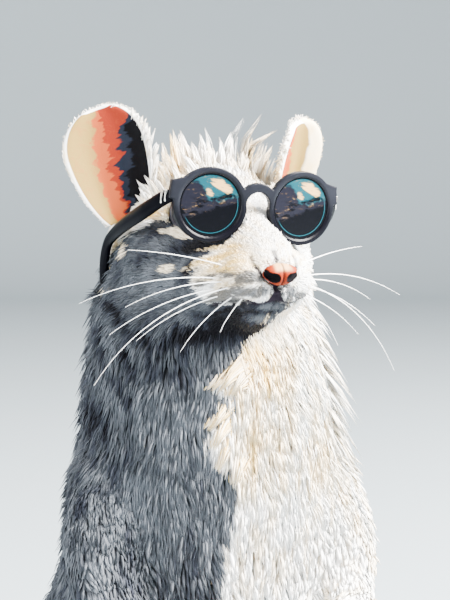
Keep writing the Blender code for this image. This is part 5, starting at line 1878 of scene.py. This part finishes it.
def edge_seats(side, count, draw):
    """Seats of the hair that grows from an ear's inner edge towards the crown."""
    cocked, facing, wide = ear_axes(side)
    turned = HEAD.to_3x3()
    seats = []
    for share in (np.arange(count) + draw.random(count)) / count:
        share *= EDGE_HAIR[0][-1]
        seat = ear_point(side, -0.97 + 0.06 * draw.random(), share)
        normal = turned @ mirrored(cocked @ (facing * 0.4 - wide), side)
        leaning = EAR_UP * draw.uniform(0.75, 1.0) - wide * draw.uniform(0.25, 0.75) + facing * 0.1
        length = np.interp(share, *EDGE_HAIR) * MM * draw.uniform(0.75, 1.2)
        seats.append((*seat, *normal.normalized(), *(turned @ mirrored(cocked @ leaning, side)), length))
    return seat_columns(seats)


def build_ear_fur(side, ear, coat, draw):
    """Fine short hair on the back and the rim of an ear."""
    ground = Ground(ear)
    marks, edges = (read(ear.data.attributes[name].data, "value", 1)[:, 0] for name in ("inside", "edge"))
    weight = np.maximum(1 - marks, eased(0.6, 0.95, edges))[ground.corners].mean(1)
    weight *= weight > 0.5
    count = int(EAR_HAIRS * coat.fullness)
    roots, normals = ground.sow(weight, count, draw)
    root = np.array(HEAD @ mirrored(EAR_AT, side))
    flow = turned_about(laid(roots - root, normals), normals, draw.normal(0, 0.3, count))
    lengths = (0.75 * MM * draw.uniform(0.6, 1.3, count))[:, None]
    middles = roots + flow * lengths * 0.5 + normals * lengths * 0.12
    tips = roots + flow * lengths + normals * lengths * 0.1
    tuft = draw.random(count)[:, None]
    white, cream = coat_tones(coat)[:2]
    colours = white + (cream - white) * tuft * 0.5
    widths = 0.2 * MM * draw.uniform(0.7, 1.3, count)
    columns = (roots, middles, tips, np.cross(normals, flow), normals, widths, colours)
    planted("ear_hair_" + SIDE_NAMES[side], columns, np.ones(count, bool), draw, root)


def fringe_rows(side, draw):
    """Rows of the longer hair in front of an ear, that rises along its inner edge."""
    rows = []
    for _ in range(FRINGE_LOCKS):
        share = draw.random()
        at = Vector(((8.2 + 5.2 * share) * side, 10.4 - 5.4 * draw.random(), 11.0 - 7.0 * share))
        along = HEAD_TURN @ np.array((side * (0.2 + 0.35 * share), draw.uniform(0.1, 0.4), 1.0))
        length = FRINGE[side] - 2.2 * share
        rows.append((HEAD @ (at * MM), along, length * MM * draw.uniform(0.7, 1.2)))
    return rows


def build_whiskers(side, skin, material, draw):
    """Long tapered hairs that bow down under their weight."""
    tree = BVHTree.FromObject(skin, bpy.context.evaluated_depsgraph_get())
    back, right, up = camera_axes()
    hairs = []
    for across, height, rise, droop, length in WHISKERS:
        start = between_lenses() + (right * across + up * height) * MM + back * 0.1
        seat = mirrored(tree.ray_cast(start, -back)[0] / MM, -side)
        point = seat - mirrored(WHISKER_OUT, side) * 0.6
        reach = length * draw.uniform(0.95, 1.05)
        points, radii = [], []
        for share in np.linspace(0, 1, 17):
            points.append(point.copy())
            radii.append(WHISKER_ROOT + (WHISKER_TIP - WHISKER_ROOT) * share**0.9)
            angle = radians(rise - droop * share)
            way = mirrored(WHISKER_OUT, side) * cos(angle) + Z_AXIS * sin(angle)
            point += way * (reach / 16)
        hairs.append(tube("whisker", points, radii, 6))
    whiskers = joined("whiskers_" + SIDE_NAMES[side], hairs)
    return finished(whiskers, "whisker", material)


# The stage


def build_floor(material):
    """A round floor that runs up into a wall far behind, open above."""
    bpy.ops.mesh.primitive_circle_add(vertices=96, radius=FLOOR_RADIUS, fill_type="NGON")
    floor = bpy.context.object
    floor.name = "floor"
    mode("EDIT")
    bpy.ops.mesh.select_all(action="DESELECT")
    mode("OBJECT")
    for edge in floor.data.edges:
        edge.select = True
    for vertex in floor.data.vertices:
        vertex.select = True
    mode("EDIT")
    bpy.ops.mesh.select_mode(type="EDGE")
    for degrees in range(10, 91, 10):
        before, angle = radians(degrees - 10), radians(degrees)
        inner, outer = (FLOOR_RADIUS + WALL_CURVE * sin(turn) for turn in (before, angle))
        rise = WALL_CURVE * (cos(before) - cos(angle))
        bpy.ops.mesh.extrude_region_move(TRANSFORM_OT_translate={"value": (0, 0, rise)})
        bpy.ops.transform.resize(value=(outer / inner, outer / inner, 1))
    bpy.ops.mesh.extrude_region_move(TRANSFORM_OT_translate={"value": (0, 0, WALL_RISE)})
    # The face that has risen with the rim would be a lid over the rat
    bpy.ops.mesh.delete(type="ONLY_FACE")
    mode("OBJECT")
    bpy.ops.object.shade_smooth()
    floor.data.materials.append(material)
    return floor


def area_light(name, power):
    """A soft square light that faces the head, and that the camera doesn't see."""
    azimuth, elevation, distance, size, tint = LIGHTS[name]
    way = way_to(azimuth, elevation)
    bpy.ops.object.light_add(type="AREA", location=LIT_POINT + way * distance)
    light = bpy.context.object
    light.name = name + "_light"
    light.rotation_euler = way.to_track_quat("Z", "Y").to_euler()
    light.data.size = size
    light.data.energy = power
    light.data.color = tint
    light.visible_camera = False


def build_camera():
    """The photo's view: a long lens from the rat's right front."""
    back, right, up = camera_axes()
    aim = between_lenses() + (right * AIM[0] + up * AIM[1]) * MM
    height = PHOTO_HEIGHT / PHOTO_SCALE * MM
    bpy.ops.object.camera_add(location=aim + back * (height * LENS_LENGTH / SENSOR))
    camera = bpy.context.object
    camera.rotation_euler = back.to_track_quat("Z", "Y").to_euler()
    camera.data.lens, camera.data.sensor_width = LENS_LENGTH, SENSOR
    camera.data.clip_start, camera.data.clip_end = 0.01, 20
    bpy.context.scene.camera = camera


# Operators


class RatOperator:
    """What the operators share: their options and their random draws."""

    bl_options = {"REGISTER", "UNDO"}

    def draw_from(self, context, offset):
        return np.random.default_rng(context.scene.rat_stage.seed + offset)


class RAT_OT_skin(RatOperator, bpy.types.Operator):
    """Build the skin that runs on unbroken from the head to the feet"""

    bl_idname = "rat.skin"
    bl_label = "Skin"

    def execute(self, context):
        skin = build_skin()
        points = points_of(skin)
        colours = markings(points, context.scene.rat_coat, streaks(points), np.zeros(len(points)))
        paint(skin, "coat_colour", np.clip(colours, 0, 1) * 0.8)
        finished(skin, "coat_white", skin_material(), *FLESH)
        return {"FINISHED"}


class RAT_OT_eyes(RatOperator, bpy.types.Operator):
    """Build the eyes and the rims of their lids"""

    bl_idname = "rat.eyes"
    bl_label = "Eyes"

    def execute(self, context):
        dark, lid = eye_material(), lid_material(context.scene.rat_bare)
        for side in SIDES:
            build_eye(side, dark)
            build_lids(side, lid)
        return {"FINISHED"}


class RAT_OT_nose(RatOperator, bpy.types.Operator):
    """Build the nose leather"""

    bl_idname = "rat.nose"
    bl_label = "Nose"

    def execute(self, context):
        build_nose(leather_material(context.scene.rat_bare))
        return {"FINISHED"}


class RAT_OT_ears(RatOperator, bpy.types.Operator):
    """Build the ears' cups"""

    bl_idname = "rat.ears"
    bl_label = "Ears"

    def execute(self, context):
        for side in SIDES:
            build_ear(side, ear_material(side, context.scene.rat_bare, context.scene.rat_coat))
        return {"FINISHED"}


class RAT_OT_paws(RatOperator, bpy.types.Operator):
    """Build the forepaws and hind feet with their claws"""

    bl_idname = "rat.paws"
    bl_label = "Paws and feet"

    def execute(self, context):
        bare = context.scene.rat_bare
        materials = {"bare": bare_material(bare), "horn": horn_material(bare)}
        for side in SIDES:
            build_forepaw(side, materials)
            build_hind_foot(side, materials)
        return {"FINISHED"}


class RAT_OT_tail(RatOperator, bpy.types.Operator):
    """Build the ringed tail"""

    bl_idname = "rat.tail"
    bl_label = "Tail"

    def execute(self, context):
        build_tail(tail_material(context.scene.rat_bare))
        return {"FINISHED"}


class RAT_OT_glasses(RatOperator, bpy.types.Operator):
    """Build the front, lenses, temples and hinges of the sunglasses"""

    bl_idname = "rat.glasses"
    bl_label = "Sunglasses"

    def execute(self, context):
        glasses = context.scene.rat_glasses
        # The front is painted lighter than the temples as painted light, with painted shade below the
        # lenses' middle
        build_front(plastic_material("front_plastic", glasses.front, 0.06, between_lenses().z))
        arms, metal = plastic_material("temple_plastic", glasses.arms, 0.02), metal_material()
        tint = lens_material(glasses)
        for side in SIDES:
            build_lens(side, tint)
            build_temple(side, arms, metal)
        return {"FINISHED"}


class RAT_OT_coat(RatOperator, bpy.types.Operator):
    """Grow the coat, the crown's locks, the outline's locks and the ears' hair"""

    bl_idname = "rat.coat"
    bl_label = "Coat"

    def execute(self, context):
        coat_material()
        coat, objects = context.scene.rat_coat, bpy.data.objects
        skin, worn = objects["skin"], [objects[name] for name in WORN_PIECES]
        build_coat(skin, worn, coat, self.draw_from(context, 1))
        draw = self.draw_from(context, 2)
        shared = (worn, coat, draw)
        tree = BVHTree.FromObject(skin, context.evaluated_depsgraph_get())
        build_locks("crown_locks", on_skin(tree, crown_rows(coat, draw)), shared, 22, 0.9, 0.32)
        bends = [(left, 0, up) for *_, left, up in CURLS]
        build_locks("crown_curls", on_skin(tree, curl_rows(coat)), shared, 46, 1.5, 0.34, False, bends)
        spreads = [spread for _, spread in TONGUE_STEPS] * len(TONGUES)
        build_locks("chest_locks", on_skin(tree, tongue_rows(tree)), shared, 44, spreads, 0.36, True)
        build_locks("outline_locks", scattered_seats(Ground(skin), coat, draw), shared, 14, 0.85, 0.42)
        for side in SIDES:
            name = SIDE_NAMES[side]
            build_ear_fur(side, objects["ear_cup_" + name], coat, draw)
            fringe = on_skin(tree, fringe_rows(side, draw))
            build_locks("ear_fringe_" + name, fringe, shared, 14, 0.7, 0.26)
            edge = edge_seats(side, EDGE_LOCKS, draw)
            build_locks("ear_edge_" + name, edge, shared, 12, 0.8, 0.24)
        return {"FINISHED"}


class RAT_OT_whiskers(RatOperator, bpy.types.Operator):
    """Set the whiskers in the whisker pads"""

    bl_idname = "rat.whiskers"
    bl_label = "Whiskers"

    def execute(self, context):
        material = whisker_material()
        draw = self.draw_from(context, 3)
        for side in SIDES:
            build_whiskers(side, bpy.data.objects["skin"], material, draw)
        return {"FINISHED"}


class RAT_OT_stage(RatOperator, bpy.types.Operator):
    """Set the floor, the lights and the camera"""

    bl_idname = "rat.stage"
    bl_label = "Stage"

    def execute(self, context):
        stage = context.scene.rat_stage
        build_floor(floor_material(stage.floor))
        for name in LIGHTS:
            area_light(name, getattr(stage, name))
        world = context.scene.world = bpy.data.worlds.new("studio")
        world.use_nodes = True
        background = world.node_tree.nodes["Background"]
        background.inputs["Color"].default_value = (*stage.air, 1)
        background.inputs["Strength"].default_value = stage.air_strength
        build_camera()
        return {"FINISHED"}


class RAT_PT_panel(bpy.types.Panel):
    """Lists the rat's pieces in the order in which they are built"""

    bl_label = "Rat"
    bl_space_type = "VIEW_3D"
    bl_region_type = "UI"
    bl_category = "Rat"

    def draw(self, context):
        for operator in OPERATORS:
            self.layout.operator(operator.bl_idname)
        for group in SETTINGS:
            box = self.layout.box()
            for name in group.__annotations__:
                box.prop(getattr(context.scene, SETTINGS[group]), name)


SETTINGS = {
    RatCoatSettings: "rat_coat",
    RatBareSettings: "rat_bare",
    RatGlassesSettings: "rat_glasses",
    RatStageSettings: "rat_stage",
}
OPERATORS = (
    RAT_OT_skin,
    RAT_OT_eyes,
    RAT_OT_nose,
    RAT_OT_ears,
    RAT_OT_paws,
    RAT_OT_tail,
    RAT_OT_glasses,
    RAT_OT_coat,
    RAT_OT_whiskers,
    RAT_OT_stage,
)


def register():
    for cls in (*SETTINGS, *OPERATORS, RAT_PT_panel):
        bpy.utils.register_class(cls)
    for group, name in SETTINGS.items():
        setattr(bpy.types.Scene, name, PointerProperty(type=group))


def unregister():
    for name in SETTINGS.values():
        delattr(bpy.types.Scene, name)
    for cls in reversed((*SETTINGS, *OPERATORS, RAT_PT_panel)):
        bpy.utils.unregister_class(cls)


def main():
    register()
    for operator in OPERATORS:
        piece = operator.bl_idname.split(".")[1]
        getattr(bpy.ops.rat, piece)()


if __name__ == "__main__":
    main()
